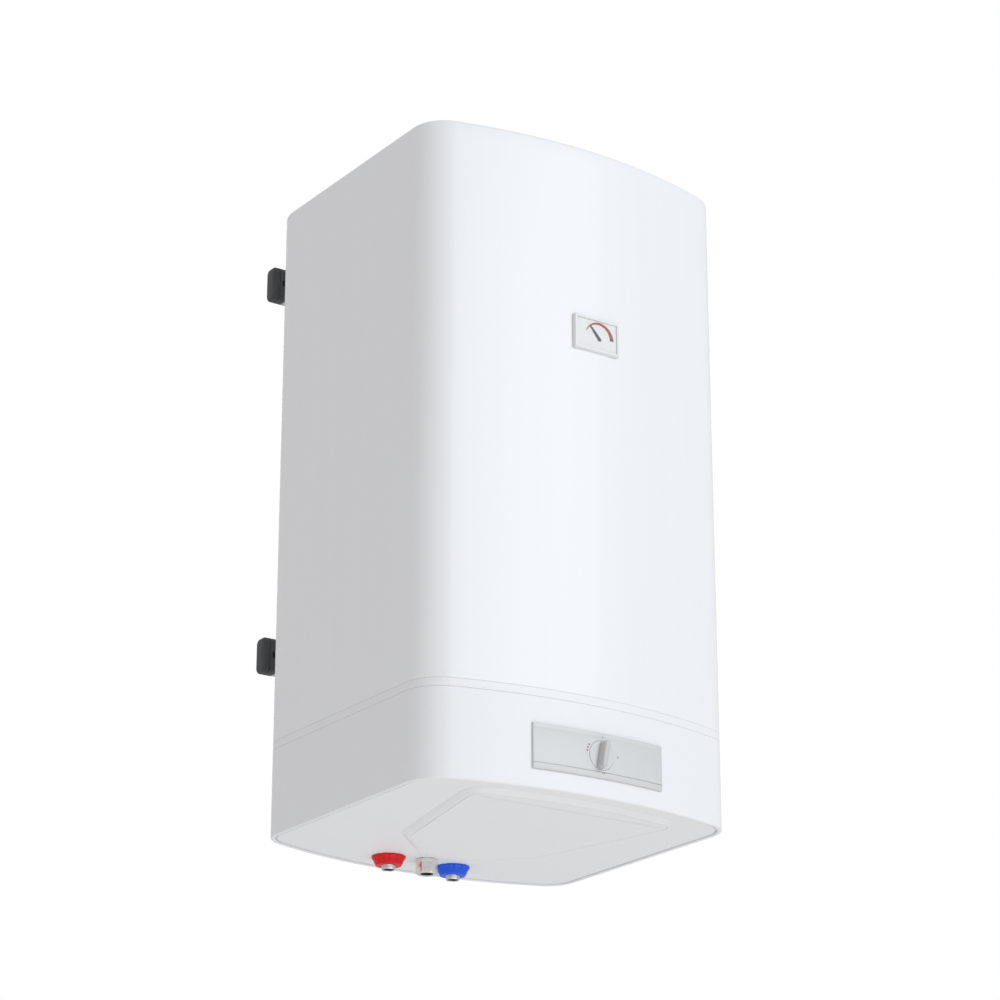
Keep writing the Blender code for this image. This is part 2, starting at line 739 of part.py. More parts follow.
def make_flange_bolts():
    under = FLANGE_BOTTOM - GAP
    for i in range(BOLT_COUNT):
        head = hex_loop(BOLT_FLATS, NUT_STEPS)
        shank = round_loop(BOLT_RADIUS, NUT_STEPS)
        loops = [at_height(head, under - BOLT_HEAD), at_height(head, under),
                 at_height(shank, under), at_height(shank, NECK_BOTTOM + FLANGE_RING)]
        place("flange_bolt_%d" % (i + 1), loft_mesh("flange_bolt", loops), ZINC_STEEL, (*bolt_place(i), 0))


def make_heating_elements():
    foot = FLANGE_BOTTOM - HEATER_PIN
    for side, name in ((-1, "heating_element_left"), (1, "heating_element_right")):
        x = side * HEATER_X
        bend_z = HEATER_TOP - HEATER_HALF_PITCH
        legs = arc((0, bend_z), HEATER_HALF_PITCH, math.pi, 0, 8)
        points = [(x, -HEATER_HALF_PITCH, foot)] + [(x, y, z) for y, z in legs]
        tube(name, points + [(x, HEATER_HALF_PITCH, foot)], HEATER_RADIUS, STAINLESS)


def make_anode():
    above = FLANGE_TOP + ANODE_STANDOFF
    foot = FLANGE_BOTTOM - ANODE_STUD_BELOW
    profile = [(0, ANODE_TOP), (ANODE_RADIUS, ANODE_TOP), (ANODE_RADIUS, above), (ANODE_STUD, above),
               (ANODE_STUD, foot), (0, foot)]
    anode = place("anode_rod", turned_mesh("anode_rod", profile), MAGNESIUM, (0, ANODE_Y, 0))
    sweep_round(anode, NUT_STEPS * 2)


def make_sensor_pocket():
    outer = POCKET_BORE + POCKET_WALL
    foot = FLANGE_BOTTOM - 0.004
    profile = [(0, POCKET_TOP), (outer, POCKET_TOP), (outer, foot), (POCKET_BORE, foot),
               (POCKET_BORE, POCKET_TOP - POCKET_WALL), (0, POCKET_TOP - POCKET_WALL)]
    pocket = place("sensor_pocket", turned_mesh("sensor_pocket", profile), STAINLESS, (0, POCKET_Y, 0))
    sweep_round(pocket, NUT_STEPS * 2)


def make_probe(name, start, stops, slot):
    """A capillary from its instrument into the pocket, where it swells into its bulb."""
    angle = math.radians(90 + 120 * slot)
    x, y = BULB_CIRCLE * math.cos(angle), POCKET_Y + BULB_CIRCLE * math.sin(angle)
    tip = POCKET_TOP - POCKET_WALL - 0.010 - 0.012 * slot
    below = Vector((x, y, FLANGE_BOTTOM - 0.020))
    route = smooth_route([start] + stops + [below])
    neck = tip - BULB_LENGTH
    points = [tuple(point) for point in route] + [(x, y, neck - 0.004), (x, y, neck), (x, y, tip)]
    swell = BULB_RADIUS / CAPILLARY_RADIUS
    radii = [1.0] * (len(route) + 1) + [swell, swell]
    return tube(name, points, CAPILLARY_RADIUS, COPPER, radii)


# ---- water connections ----

def pipe_loops(top, bottom, outer, bore, steps=ROUND_STEPS):
    return [at_height(round_loop(outer, steps), bottom), at_height(round_loop(outer, steps), top),
            at_height(round_loop(bore, steps), top), at_height(round_loop(bore, steps), bottom)]


def make_pipes():
    hot_top = TANK_TOP_SHOULDER + DISH_DEPTH * 0.5 - HOT_PIPE_CLEARANCE
    pipes = (("hot_outlet_pipe", -PORT_PITCH, hot_top), ("cold_inlet_pipe", PORT_PITCH, COLD_PIPE_TOP))
    for name, x, top in pipes:
        loops = pipe_loops(top, -PIPE_DROP, PIPE_RADIUS, PIPE_BORE)
        place(name, loft_mesh(name, loops, ring=True), CHROME, (x, PORT_Y, 0))


def make_spare_port():
    """The circulation socket: a pipe stub with a hexagonal collar under the plate."""
    collar = PLATE_RECESS - GAP
    mouth = -HEX_DROP
    nut, edge = hex_loop(HEX_FLATS), round_loop(HEX_FLATS / 2 - HEX_CHAMFER / 3)
    pipe, bore, thread = round_loop(PIPE_RADIUS), round_loop(PIPE_BORE), round_loop(SOCKET_BORE)
    loops = [at_height(edge, mouth), at_height(nut, mouth + HEX_CHAMFER),
             at_height(nut, collar - HEX_CHAMFER), at_height(edge, collar),
             at_height(pipe, collar), at_height(pipe, SPARE_PIPE_TOP),
             at_height(bore, SPARE_PIPE_TOP), at_height(bore, mouth + SOCKET_DEPTH),
             at_height(thread, mouth + SOCKET_DEPTH - 0.001), at_height(thread, mouth)]
    socket = loft_mesh("circulation_socket", loops, ring=True)
    place("circulation_socket", socket, NICKEL, (0, SPARE_Y, 0), (0, 0, math.pi / 6))


def make_rosettes():
    top = PLATE_RECESS - GAP
    foot = top - ROSETTE_HEIGHT
    bore = PIPE_RADIUS + GAP
    brim = top - ROSETTE_BRIM
    profile = [(ROSETTE_RIM, top), (ROSETTE_RIM, brim), (ROSETTE_NECK, foot), (bore, foot),
               (bore, foot + ROSETTE_WALL), (ROSETTE_NECK - ROSETTE_WALL, foot + ROSETTE_WALL),
               (ROSETTE_RIM - ROSETTE_WALL, brim), (ROSETTE_RIM - ROSETTE_WALL, top)]
    for name, x, look in (("hot_rosette", -PORT_PITCH, RED), ("cold_rosette", PORT_PITCH, BLUE)):
        loops = [at_height(round_loop(radius), z) for radius, z in profile]
        place(name, loft_mesh(name, loops, ring=True), look, (x, PORT_Y, 0))


# ---- wall rails ----

def make_rails():
    for name, z in (("upper_rail", UPPER_RAIL_Z), ("lower_rail", LOWER_RAIL_UP)):
        make_rail(name, z)
        make_cap(name.replace("rail", "cap_left"), -1, z)
        make_cap(name.replace("rail", "cap_right"), 1, z)


def make_rail(name, z):
    """A rectangular tube with slots for the wall bolts, stud holes and nut access holes."""
    middle = RAIL_FRONT + RAIL_DEEP / 2
    outer = round_rectangle(RAIL_DEEP, RAIL_TALL, RAIL_WALL, 1)
    inner = round_rectangle(RAIL_DEEP - 2 * RAIL_WALL, RAIL_TALL - 2 * RAIL_WALL, RAIL_WALL / 4, 1)
    ends = ((outer, -RAIL_HALF), (outer, RAIL_HALF), (inner, RAIL_HALF), (inner, -RAIL_HALF))
    loops = [at_side(outline, x) for outline, x in ends]
    rail = place(name, loft_mesh(name, loops, ring=True), GALVANISED, (0, middle, z))
    for side in (-1, 1):
        outline = round_rectangle(SLOT_WIDTH, SLOT_TALL, SLOT_ROUND)
        slot = loft_mesh("wall_slot", [at_depth(outline, y) for y in (-0.03, 0.03)])
        cut(rail, place_cutter(name + "_slot_cutter", slot, (side * SLOT_X, middle, z)))
        x = side * STUD_X
        hole = rod_mesh("rail_stud_hole", STUD_RADIUS + STUD_CLEAR, RAIL_DEEP / 2)
        cut(rail, place_cutter(name + "_stud_cutter", hole, (x, RAIL_FRONT, z), facing_front()))
        access = rod_mesh("access_hole", ACCESS_RADIUS, RAIL_DEEP / 2)
        cut(rail, place_cutter(name + "_access_cutter", access, (x, WALL, z), facing_front()))


def make_cap(name, side, z):
    """A plastic end cap: a rounded head outside the rail and a plug inside it."""
    smaller = 2 * (RAIL_WALL + GAP)
    plug = round_rectangle(RAIL_DEEP - smaller, RAIL_TALL - smaller, RAIL_WALL / 2)
    deep, tall = RAIL_DEEP + 2 * CAP_OVER, RAIL_TALL + 2 * CAP_OVER
    head = round_rectangle(deep, tall, CAP_ROUND)
    soft = round_rectangle(deep - 2 * CAP_SOFT, tall - 2 * CAP_SOFT, CAP_ROUND - CAP_SOFT)
    head_shift = WALL - GAP - deep / 2
    plug_shift = RAIL_FRONT + RAIL_DEEP / 2
    near, far = RAIL_HALF + GAP, RAIL_HALF + CAP_HEAD
    steps = ((soft, far, head_shift), (head, far - CAP_SOFT * 1.5, head_shift), (head, near, head_shift),
             (plug, near, plug_shift), (plug, RAIL_HALF - CAP_PLUG, plug_shift))
    loops = []
    for outline, x, shift in steps:
        loops.append(at_side([(y + shift, height + z) for y, height in outline], side * x))
    place(name, loft_mesh(name, loops), DARK_PLASTIC)


def make_studs():
    """Studs welded to the tank, with a collar that spaces the rail from the casing, and their nuts."""
    tank_side = rod_mesh("tank_side", TANK_RADIUS + GAP, 1.2, TANK_STEPS)
    tank_cutter = place_cutter("tank_side_cutter", tank_side, (0, 0, HEIGHT / 2))
    collar_start = BACK + COLLAR_CLEAR
    collar_end = RAIL_FRONT - GAP
    tip = RAIL_FRONT + RAIL_WALL + STUD_THREAD
    thin, thick = round_loop(STUD_RADIUS, NUT_STEPS), round_loop(STUD_COLLAR, NUT_STEPS)
    steps = ((thin, stud_root()), (thin, collar_start), (thick, collar_start), (thick, collar_end),
             (thin, collar_end), (thin, tip))
    flats, bore = hex_loop(NUT_FLATS, NUT_STEPS), round_loop(STUD_RADIUS + GAP, NUT_STEPS)
    start = RAIL_FRONT + RAIL_WALL + GAP
    end = start + NUT_THICK
    nut_steps = ((flats, start), (flats, end), (bore, end), (bore, start))
    for number, (x, z) in enumerate(stud_places(), 1):
        loops = [at_depth(outline, y) for outline, y in steps]
        stud = place("hanger_stud_%d" % number, loft_mesh("hanger_stud", loops), ZINC_STEEL, (x, 0, z))
        cut(stud, tank_cutter)
        nut = [at_depth(outline, y) for outline, y in nut_steps]
        place("hanger_nut_%d" % number, loft_mesh("hanger_nut", nut, ring=True), ZINC_STEEL, (x, 0, z))


# ---- thermometer ----

def gauge_window():
    return GAUGE_WIDTH - 2 * GAUGE_FRAME, GAUGE_TALL - 2 * GAUGE_FRAME


def gauge_box_size():
    width, tall = gauge_window()
    return width - 2 * GAUGE_BOX_INSET, tall - 2 * GAUGE_BOX_INSET


def gauge_box_cutter(name, clearance, inward, outward):
    """The thermometer housing's outline, cut from outward of the front to inward of it."""
    width, tall = gauge_box_size()
    hole = box_mesh("gauge_hole", (width + 2 * clearance, inward + outward, tall + 2 * clearance))
    return place_cutter(name, hole, (0, FRONT + (inward - outward) / 2, GAUGE_Z))


def needle_length():
    """From the needle's axis to its tip, which passes under the bezel's upper edge."""
    return gauge_window()[1] / 2 - NEEDLE_DZ - NEEDLE_CLEAR


def make_gauge():
    make_bezel()
    make_gauge_housing()
    width, tall = gauge_window()
    face = FRONT - GAUGE_PROUD
    dial_y = face + DIAL_RECESS
    plate = box_mesh("gauge_dial", (width - 2 * GAP, DIAL_THICK, tall - 2 * GAP))
    dial = place("gauge_dial", plate, DIAL_WHITE, (0, dial_y + DIAL_THICK / 2, GAUGE_Z))
    hole = rod_mesh("axle_hole", NEEDLE_AXLE + GAP, 0.01, NUT_STEPS)
    pivot = (NEEDLE_X, dial_y, GAUGE_Z + NEEDLE_DZ)
    cut(dial, place_cutter("axle_hole_cutter", hole, pivot, facing_front()))
    pane = box_mesh("gauge_lens", (width - 2 * GAP, LENS_THICK, tall - 2 * GAP))
    place("gauge_lens", pane, CLEAR, (0, face + LENS_RECESS + LENS_THICK / 2, GAUGE_Z))
    make_needle(dial_y)


def make_bezel():
    """The frame, trimmed behind to the casing's curve."""
    chamfer = GAUGE_CHAMFER
    front = round_rectangle(GAUGE_WIDTH - 2 * chamfer, GAUGE_TALL - 2 * chamfer, GAUGE_CORNER * 0.6)
    rim = round_rectangle(GAUGE_WIDTH, GAUGE_TALL, GAUGE_CORNER)
    hole = round_rectangle(*gauge_window(), GAUGE_CORNER / 6)
    face = FRONT - GAUGE_PROUD
    deep = FRONT + GAUGE_SKIRT
    loops = [at_depth(front, face), at_depth(rim, face + chamfer), at_depth(rim, deep),
             at_depth(hole, deep), at_depth(hole, face)]
    frame = loft_mesh("gauge_bezel", loops, ring=True)
    bezel = place("gauge_bezel", frame, SILVER_PLASTIC, (0, 0, GAUGE_Z))
    casing = loft_mesh("casing_solid", [at_height(casing_outline(-GAP), z) for z in (0.3, HEIGHT)])
    cut(bezel, place_cutter("casing_solid_cutter", casing))


def make_gauge_housing():
    width, tall = gauge_box_size()
    dial_back = FRONT - GAUGE_PROUD + DIAL_RECESS + DIAL_THICK
    start = dial_back + GAP
    depth = GAUGE_BOX_DEPTH
    housing = place("gauge_housing", box_mesh("gauge_housing", (width, depth, tall)), DARK_PLASTIC,
                    (0, start + depth / 2, GAUGE_Z))
    hollow = box_mesh("gauge_hollow", (width - 2 * GAUGE_BOX_WALL, depth, tall - 2 * GAUGE_BOX_WALL))
    middle = (0, start + depth / 2 - GAUGE_BOX_WALL, GAUGE_Z)
    cut(housing, place_cutter("gauge_hollow_cutter", hollow, middle))


def make_needle(dial_y):
    """A tapering needle on its axle, which turns in the dial's hole; its origin is on the axis."""
    base = dial_y - GAP * 2
    front = base - NEEDLE_THICK
    shape = []
    for x, z in round_loop(NEEDLE_ROOT, 16):
        stretch = max(0.0, z / NEEDLE_ROOT)**6
        shape.append((x * (1 - stretch), z + (needle_length() - NEEDLE_ROOT) * stretch))
    axle = round_loop(NEEDLE_AXLE, 16)
    steps = ((shape, front), (shape, base), (axle, base), (axle, dial_y + DIAL_THICK + 0.006))
    lean = Matrix.Rotation(-NEEDLE_LEAN, 3, "Y")
    loops = []
    for outline, y in steps:
        loops.append([tuple(lean @ Vector(point)) for point in at_depth(outline, y)])
    pivot = (NEEDLE_X, 0, GAUGE_Z + NEEDLE_DZ)
    place("gauge_needle", loft_mesh("gauge_needle", loops), NEEDLE_BLACK, pivot)


# ---- control panel ----

def make_fascia():
    """A curved plate that follows the casing's front, with a round hole for the knob."""
    sides = [PANEL_WIDTH * (i / PANEL_STEPS - 0.5) for i in range(PANEL_STEPS + 1)]
    plan = [(x, front_y(x, GAP)) for x in sides]
    plan += [(x, front_y(x, GAP + PANEL_THICK)) for x in reversed(sides)]
    loops = [at_height(plan, PANEL_Z + side * PANEL_TALL / 2) for side in (-1, 1)]
    fascia = place("control_fascia", loft_mesh("control_fascia", loops), SILVER_PLASTIC)
    hole = rod_mesh("knob_hole", KNOB_RADIUS + KNOB_GAP, 0.03, KNOB_STEPS)
    cut(fascia, place_cutter("knob_hole_cutter", hole, (0, FRONT, PANEL_Z), facing_front()))


def make_knob():
    """Disc with its hub, the grip across it, and the thermostat's shaft: all three turn together."""
    face = FRONT - GAP - PANEL_THICK - KNOB_PROUD
    hub_end = -KNOB_THICK - HUB_LENGTH
    bore = SHAFT_RADIUS + GAP
    profile = [(0, 0), (KNOB_RADIUS, 0), (KNOB_RADIUS, -KNOB_THICK), (HUB_RADIUS, -KNOB_THICK),
               (HUB_RADIUS, hub_end), (bore, hub_end), (bore, -KNOB_THICK), (0, -KNOB_THICK)]
    outline = turned_mesh("knob_disc", profile)
    disc = place("knob_disc", outline, SILVER_PLASTIC, (0, face, PANEL_Z), facing_front())
    sweep_round(disc, KNOB_STEPS)
    soft = GRIP_SOFT
    levels = []
    for width, smaller, z in ((GRIP_FOOT, 0, GAP), (GRIP_WIDTH, 0, GRIP_TALL - soft),
                              (GRIP_WIDTH - 2 * soft, 2 * soft, GRIP_TALL)):
        length = 2 * (KNOB_RADIUS - GRIP_SHORT) - smaller
        bar = round_rectangle(width, length, width / 2 - soft / 10)
        levels.append(at_height(bar, z))
    grip = loft_mesh("knob_grip", levels)
    place("knob_grip", grip, SILVER_PLASTIC, (0, face, PANEL_Z), (math.pi / 2, GRIP_LEAN, 0))
    start = face + KNOB_THICK + GAP
    reach = BRACKET_Y + SHAFT_SEAT - GAP - start
    place("thermostat_shaft", rod_mesh("thermostat_shaft", SHAFT_RADIUS, reach), STAINLESS,
          (0, start + reach / 2, PANEL_Z), facing_front())


# ---- electrics ----

def behind_bracket(depth):
    return BRACKET_Y + GAP + depth / 2


def make_bracket():
    """An angle of sheet steel: its foot stands on the bottom plate and its wall carries the electrics."""
    front = BRACKET_Y - BRACKET_THICK
    low = LEDGE_BOTTOM
    toe = front_y(BRACKET_HALF, -RIM_LIP - LEDGE_WIDTH - LEDGE_CLEAR)
    section = [(toe, low), (BRACKET_Y, low), (BRACKET_Y, BRACKET_TOP), (front, BRACKET_TOP),
               (front, low + BRACKET_THICK), (toe, low + BRACKET_THICK)]
    loops = [at_side(section, x) for x in (-BRACKET_HALF, BRACKET_HALF)]
    bracket = place("electrics_bracket", loft_mesh("electrics_bracket", loops), GALVANISED)
    hole = rod_mesh("shaft_hole", SHAFT_RADIUS + SHAFT_CLEAR, 0.012)
    cut(bracket, place_cutter("shaft_hole_cutter", hole, (0, BRACKET_Y, PANEL_Z), facing_front()))


def make_thermostat():
    y = behind_bracket(THERMOSTAT_SIZE[1])
    body = place("thermostat_body", box_mesh("thermostat_body", THERMOSTAT_SIZE), DARK_PLASTIC,
                 (0, y, PANEL_Z))
    seat = rod_mesh("shaft_seat", SHAFT_RADIUS + SHAFT_RUNNING, 2 * SHAFT_SEAT, KNOB_STEPS)
    cut(body, place_cutter("shaft_seat_cutter", seat, (0, BRACKET_Y + GAP, PANEL_Z), facing_front()))


def make_cutout():
    """The safety cut-out, and the button under it that is pushed up to reset it."""
    y = behind_bracket(CUTOUT_SIZE[1])
    under = CUTOUT_Z - CUTOUT_SIZE[2] / 2
    body = place("safety_cutout", box_mesh("safety_cutout", CUTOUT_SIZE), DARK_PLASTIC,
                 (CUTOUT_X, y, CUTOUT_Z))
    deep = BUTTON_IN + BUTTON_TRAVEL + 0.001
    seat = rod_mesh("button_seat", BUTTON_RADIUS + BUTTON_GAP, 2 * deep)
    cut(body, place_cutter("button_seat_cutter", seat, (CUTOUT_X, y, under)))
    length = BUTTON_OUT + BUTTON_IN
    place("reset_button", rod_mesh("reset_button", BUTTON_RADIUS, length), RED,
          (CUTOUT_X, y, under + BUTTON_IN - length / 2))


def make_terminal_block():
    place("terminal_block", box_mesh("terminal_block", BLOCK_SIZE), WHITE_PLASTIC,
          (BLOCK_X, behind_bracket(BLOCK_SIZE[1]), BLOCK_Z))


def make_wires():
    """Mains wires from the terminal block to the thermostat, the elements and the flange."""
    block_back = BRACKET_Y + GAP + BLOCK_SIZE[1] + GAP
    thermostat_back = BRACKET_Y + GAP + THERMOSTAT_SIZE[1] + GAP
    pin = FLANGE_BOTTOM - HEATER_PIN - WIRE_GAP
    foot = -HEATER_HALF_PITCH
    right_pin, left_pin = Vector((HEATER_X, foot, pin)), Vector((-HEATER_X, foot, pin))
    drop = Vector((0, 0, -0.020))
    out = Vector((0, 0.020, 0))
    supply = Vector((BLOCK_X + 0.012, block_back, BLOCK_Z))
    feed = Vector((-0.014, thermostat_back, PANEL_Z + 0.004))
    tube("live_wire", smooth_route([supply, supply + out, feed + out, feed]), WIRE_RADIUS, WIRE_BROWN)
    switched = Vector((0.012, thermostat_back, PANEL_Z))
    tube("switched_wire", smooth_route([switched, switched + out, right_pin + drop, right_pin]), WIRE_RADIUS,
         WIRE_BROWN)
    neutral = Vector((BLOCK_X - 0.010, block_back, BLOCK_Z))
    tube("neutral_wire", smooth_route([neutral, neutral + out, left_pin + drop, left_pin]), WIRE_RADIUS,
         WIRE_BLUE)
    earth = Vector((BLOCK_X, block_back, BLOCK_Z - 0.006))
    lug = Vector((-0.045, -0.050, FLANGE_BOTTOM - WIRE_GAP))
    tube("earth_wire", smooth_route([earth, earth + out, lug + drop, lug]), WIRE_RADIUS, WIRE_GREEN)


def make_probes():
    thermostat_back = BRACKET_Y + GAP + THERMOSTAT_SIZE[1] + GAP
    cutout_back = BRACKET_Y + GAP + CUTOUT_SIZE[1] + GAP
    low = FLANGE_BOTTOM - 0.040
    make_probe("thermostat_probe", Vector((-0.004, thermostat_back, PANEL_Z - 0.010)),
               [Vector((-0.004, thermostat_back + 0.03, low - 0.010)), Vector((-0.003, -0.060, low))], 1)
    make_probe("cutout_probe", Vector((CUTOUT_X, cutout_back, CUTOUT_Z)),
               [Vector((CUTOUT_X - 0.006, cutout_back + 0.04, CUTOUT_Z)), Vector((0.016, -0.060, low))], 2)
    inside = FRONT + GAUGE_BOX_DEPTH - GAUGE_PROUD + DIAL_RECESS + DIAL_THICK
    bottom = GAUGE_Z - gauge_box_size()[1] / 2
    lane = inside - 0.004
    start = Vector((0, lane, bottom - GAP))
    make_probe("gauge_probe", start,
               [Vector((0, lane, 0.40)), Vector((0, lane, 0.17)), Vector((-0.002, FRONT + 0.030, 0.120)),
                Vector((-0.012, -0.120, low + 0.030)), Vector((-0.006, -0.050, low + 0.006))], 0)


def make_grommet():
    """The rubber grommet in the skirt's back, where the supply cable comes in."""
    wall = SKIRT_WALL + 4 * GAP
    profile = [(GROMMET_FLANGE, 0.002), (GROMMET_FLANGE, 0), (GROMMET_RADIUS, 0), (GROMMET_RADIUS, -wall),
               (GROMMET_FLANGE, -wall), (GROMMET_FLANGE, -wall - 0.002), (GROMMET_BORE, -wall - 0.002),
               (GROMMET_BORE, 0.002)]
    loops = [at_depth(round_loop(radius), BACK + GAP + out) for radius, out in profile]
    place("cable_grommet", loft_mesh("cable_grommet", loops, ring=True), RUBBER, (0, 0, GROMMET_Z))


clear_scene()
PARTS = new_collection("tank_water_heater")
CUTTERS = new_collection("cutters")
FRAME = bpy.data.objects.new("casing_frame", None)
PARTS.objects.link(FRAME)
FRAME.location = (0, -WALL, -UPPER_RAIL_Z)

PAINTED_STEEL = make_material("painted_steel", (0.86, 0.88, 0.90), 0.30)
WHITE_PLASTIC = make_material("white_plastic", (0.84, 0.85, 0.87), 0.40)
SILVER_PLASTIC = make_material("silver_plastic", (0.68, 0.71, 0.73), 0.35, 0.3)
DARK_PLASTIC = make_material("dark_plastic", (0.045, 0.045, 0.05), 0.55)
DIAL_WHITE = make_material("dial_white", (0.78, 0.79, 0.80), 0.50)
NEEDLE_BLACK = make_material("needle_black", (0.03, 0.03, 0.03), 0.50)
CLEAR = make_material("clear_plastic", (0.95, 0.96, 0.97), 0.05, 0.0, 0.25)
RED = make_material("red_plastic", (0.72, 0.02, 0.03), 0.35)
BLUE = make_material("blue_plastic", (0.03, 0.10, 0.70), 0.35)
CHROME = make_material("chrome", (0.75, 0.75, 0.76), 0.15, 1.0)
NICKEL = make_material("nickel", (0.62, 0.61, 0.58), 0.25, 1.0)
GALVANISED = make_material("galvanised_steel", (0.50, 0.52, 0.54), 0.45, 0.9)
ZINC_STEEL = make_material("zinc_steel", (0.58, 0.58, 0.56), 0.35, 1.0)
STAINLESS = make_material("stainless_steel", (0.56, 0.56, 0.57), 0.30, 1.0)
ENAMEL = make_material("blue_enamel", (0.05, 0.09, 0.22), 0.25)
FOAM = make_material("insulation_foam", (0.80, 0.68, 0.38), 0.95)
RUBBER = make_material("rubber", (0.03, 0.03, 0.03), 0.80)
MAGNESIUM = make_material("magnesium", (0.45, 0.45, 0.44), 0.60, 0.8)
COPPER = make_material("copper", (0.72, 0.36, 0.20), 0.35, 1.0)
WIRE_BROWN = make_material("wire_brown", (0.20, 0.08, 0.03), 0.50)
WIRE_BLUE = make_material("wire_blue", (0.05, 0.15, 0.55), 0.50)
WIRE_GREEN = make_material("wire_green", (0.25, 0.55, 0.08), 0.50)

make_jacket()
make_top_cover()
make_joint_band()
make_skirt()
make_bottom_plate()
make_service_panel()
make_tank()
make_foam()
make_flange()
make_flange_bolts()
make_heating_elements()
make_anode()
make_sensor_pocket()
make_pipes()
make_spare_port()
make_rosettes()
make_rails()
make_studs()
make_gauge()
make_fascia()
make_knob()
make_bracket()
make_thermostat()
make_cutout()
make_terminal_block()
make_wires()
make_probes()
make_grommet()
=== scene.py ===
"""Looks of a wall-hung electric tank water heater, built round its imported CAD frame.

Shapes are drawn in the casing's own frame (origin at the middle of the casing's plan, on its lower
edge, +Y towards the wall) and set in place at HOME. Sizes come from the frame's boxes.
"""
import json
import math

import bmesh
import bpy
from mathutils import Matrix, Vector


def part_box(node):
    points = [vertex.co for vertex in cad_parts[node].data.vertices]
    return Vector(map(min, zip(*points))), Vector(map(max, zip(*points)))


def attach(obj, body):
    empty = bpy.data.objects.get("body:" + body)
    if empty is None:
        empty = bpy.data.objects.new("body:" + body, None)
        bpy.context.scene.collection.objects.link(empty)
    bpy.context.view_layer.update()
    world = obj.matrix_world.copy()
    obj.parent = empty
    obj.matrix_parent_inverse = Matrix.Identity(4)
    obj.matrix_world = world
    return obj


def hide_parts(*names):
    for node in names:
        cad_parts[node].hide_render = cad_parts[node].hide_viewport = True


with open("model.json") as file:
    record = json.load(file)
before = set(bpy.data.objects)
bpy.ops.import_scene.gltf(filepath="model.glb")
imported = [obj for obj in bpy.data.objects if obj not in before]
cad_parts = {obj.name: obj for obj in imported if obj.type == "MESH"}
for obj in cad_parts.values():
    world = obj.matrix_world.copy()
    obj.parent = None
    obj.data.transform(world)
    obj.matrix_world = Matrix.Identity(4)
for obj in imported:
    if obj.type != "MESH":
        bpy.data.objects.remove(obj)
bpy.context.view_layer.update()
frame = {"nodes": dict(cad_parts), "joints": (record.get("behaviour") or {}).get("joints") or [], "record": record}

# ---- sizes read from the frame ----
SKIRT_LOW, SKIRT_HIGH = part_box("lower_skirt")
HOME = Vector((0, (SKIRT_LOW.y + SKIRT_HIGH.y) / 2, SKIRT_LOW.z))


def local_box(node):
    """A CAD node's lowest and highest corner in the casing's frame."""
    low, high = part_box(node)
    return low - HOME, high - HOME


def middle_of(node):
    """The middle of a CAD node's box, in the casing's frame."""
    low, high = local_box(node)
    return [(a + b) / 2 for a, b in zip(low, high)]


GAP = 0.0003  # between pieces that touch
SEAM = 0.0002  # the open joints either side of the band
CAD_SEAM = 0.0008  # the same joints in the CAD, which the band is measured from

WIDTH = SKIRT_HIGH.x - SKIRT_LOW.x
DEPTH = SKIRT_HIGH.y - SKIRT_LOW.y
FRONT, BACK = -DEPTH / 2, DEPTH / 2
JACKET_LOW, JACKET_HIGH = local_box("upper_jacket")
HEIGHT = JACKET_HIGH.z
SKIRT_TOP = local_box("lower_skirt")[1].z
BAND_TOP = JACKET_LOW.z - CAD_SEAM

# ---- the casing's plan ----
FRONT_CROWN = 0.045  # how far the front bulges between its corners
REAR_CROWN = 0.055
FRONT_CORNER = 0.055  # plan radius of the two front corners
REAR_CORNER = 0.050
CORNER_STEPS = 22
CROWN_STEPS = 70

# ---- walls and edges of the casing ----
SHEET = 0.0008
TOP_EDGE = 0.006  # radius of the jacket's rolled top edge
TOP_LIP = 0.014
BAND_REACH = 0.014  # the band's tongue reaches this far up and down behind its neighbours
BAND_TONGUE = 0.002
SKIRT_WALL = 0.003
RIM_LIP = 0.0065  # the skirt's turned-in lower lip
RIM_ROUND = 0.004
LEDGE_WIDTH = 0.0175
WINDOW_REBATE = 0.009  # the control panel overlaps the skirt's window this far at its ends
WINDOW_CLEAR = 0.0025  # from the knob to that window

# ---- service panel under the heater ----
SERVICE_FRONT_INSET = 0.028  # from the casing's front
SERVICE_CORNER_BACK = 0.056  # from the casing's front back to the panel's front corners
SERVICE_CORNER = 0.022  # width of those corners' curves
SERVICE_WAIST_HALF = 0.120
SERVICE_WAIST_RUN = 0.069  # from the waist back to the rear corners
SERVICE_REAR_HALF = 0.052
SERVICE_REAR_BOW = 0.010
SERVICE_FLANGE = 0.014  # how far the panel overlaps the plate round its opening
SERVICE_BEVEL = 0.0095
SERVICE_WALL = 0.0025
SERVICE_STEPS = 480

# ---- water connections ----
PIPE_RADIUS = 0.0105
PIPE_BORE = 0.0078
PIPE_HOLE = 0.0113  # radius of the holes in the bottom plate
PIPE_PITCH = 0.0018  # of the pipes' threads
PIPE_THREAD_RUN = 0.016
HEX_FLATS = 0.029
SOCKET_BORE = 0.0099  # radius of the socket's threaded mouth
SOCKET_THREAD_RUN = 0.009
ROSETTE_NECK = 0.0188
ROSETTE_BORE = 0.0108
ROSETTE_WALL = 0.0016
ROSETTE_BRIM = 0.002  # height of the part that stands straight against the plate
ROSETTE_RIBS = 12

# ---- wall rails ----
RAIL_WALL = 0.002
RAIL_ROUND = 0.003
SLOT_END = 0.044  # from the rail's end to the middle of its slot
SLOT_TO_STUD = 0.070
SLOT_WIDTH = 0.034
SLOT_TALL = 0.012
SLOT_ROUND = 0.0059
ACCESS_RADIUS = 0.014  # of the holes that the nuts are reached through
STUD_HOLE = 0.0065
STUD_RADIUS = 0.006
STUD_COLLAR = 0.010
STUD_PITCH = 0.00175
NUT_FLATS = 0.018
NUT_BORE = 0.0063
CAP_ROUND = 0.008

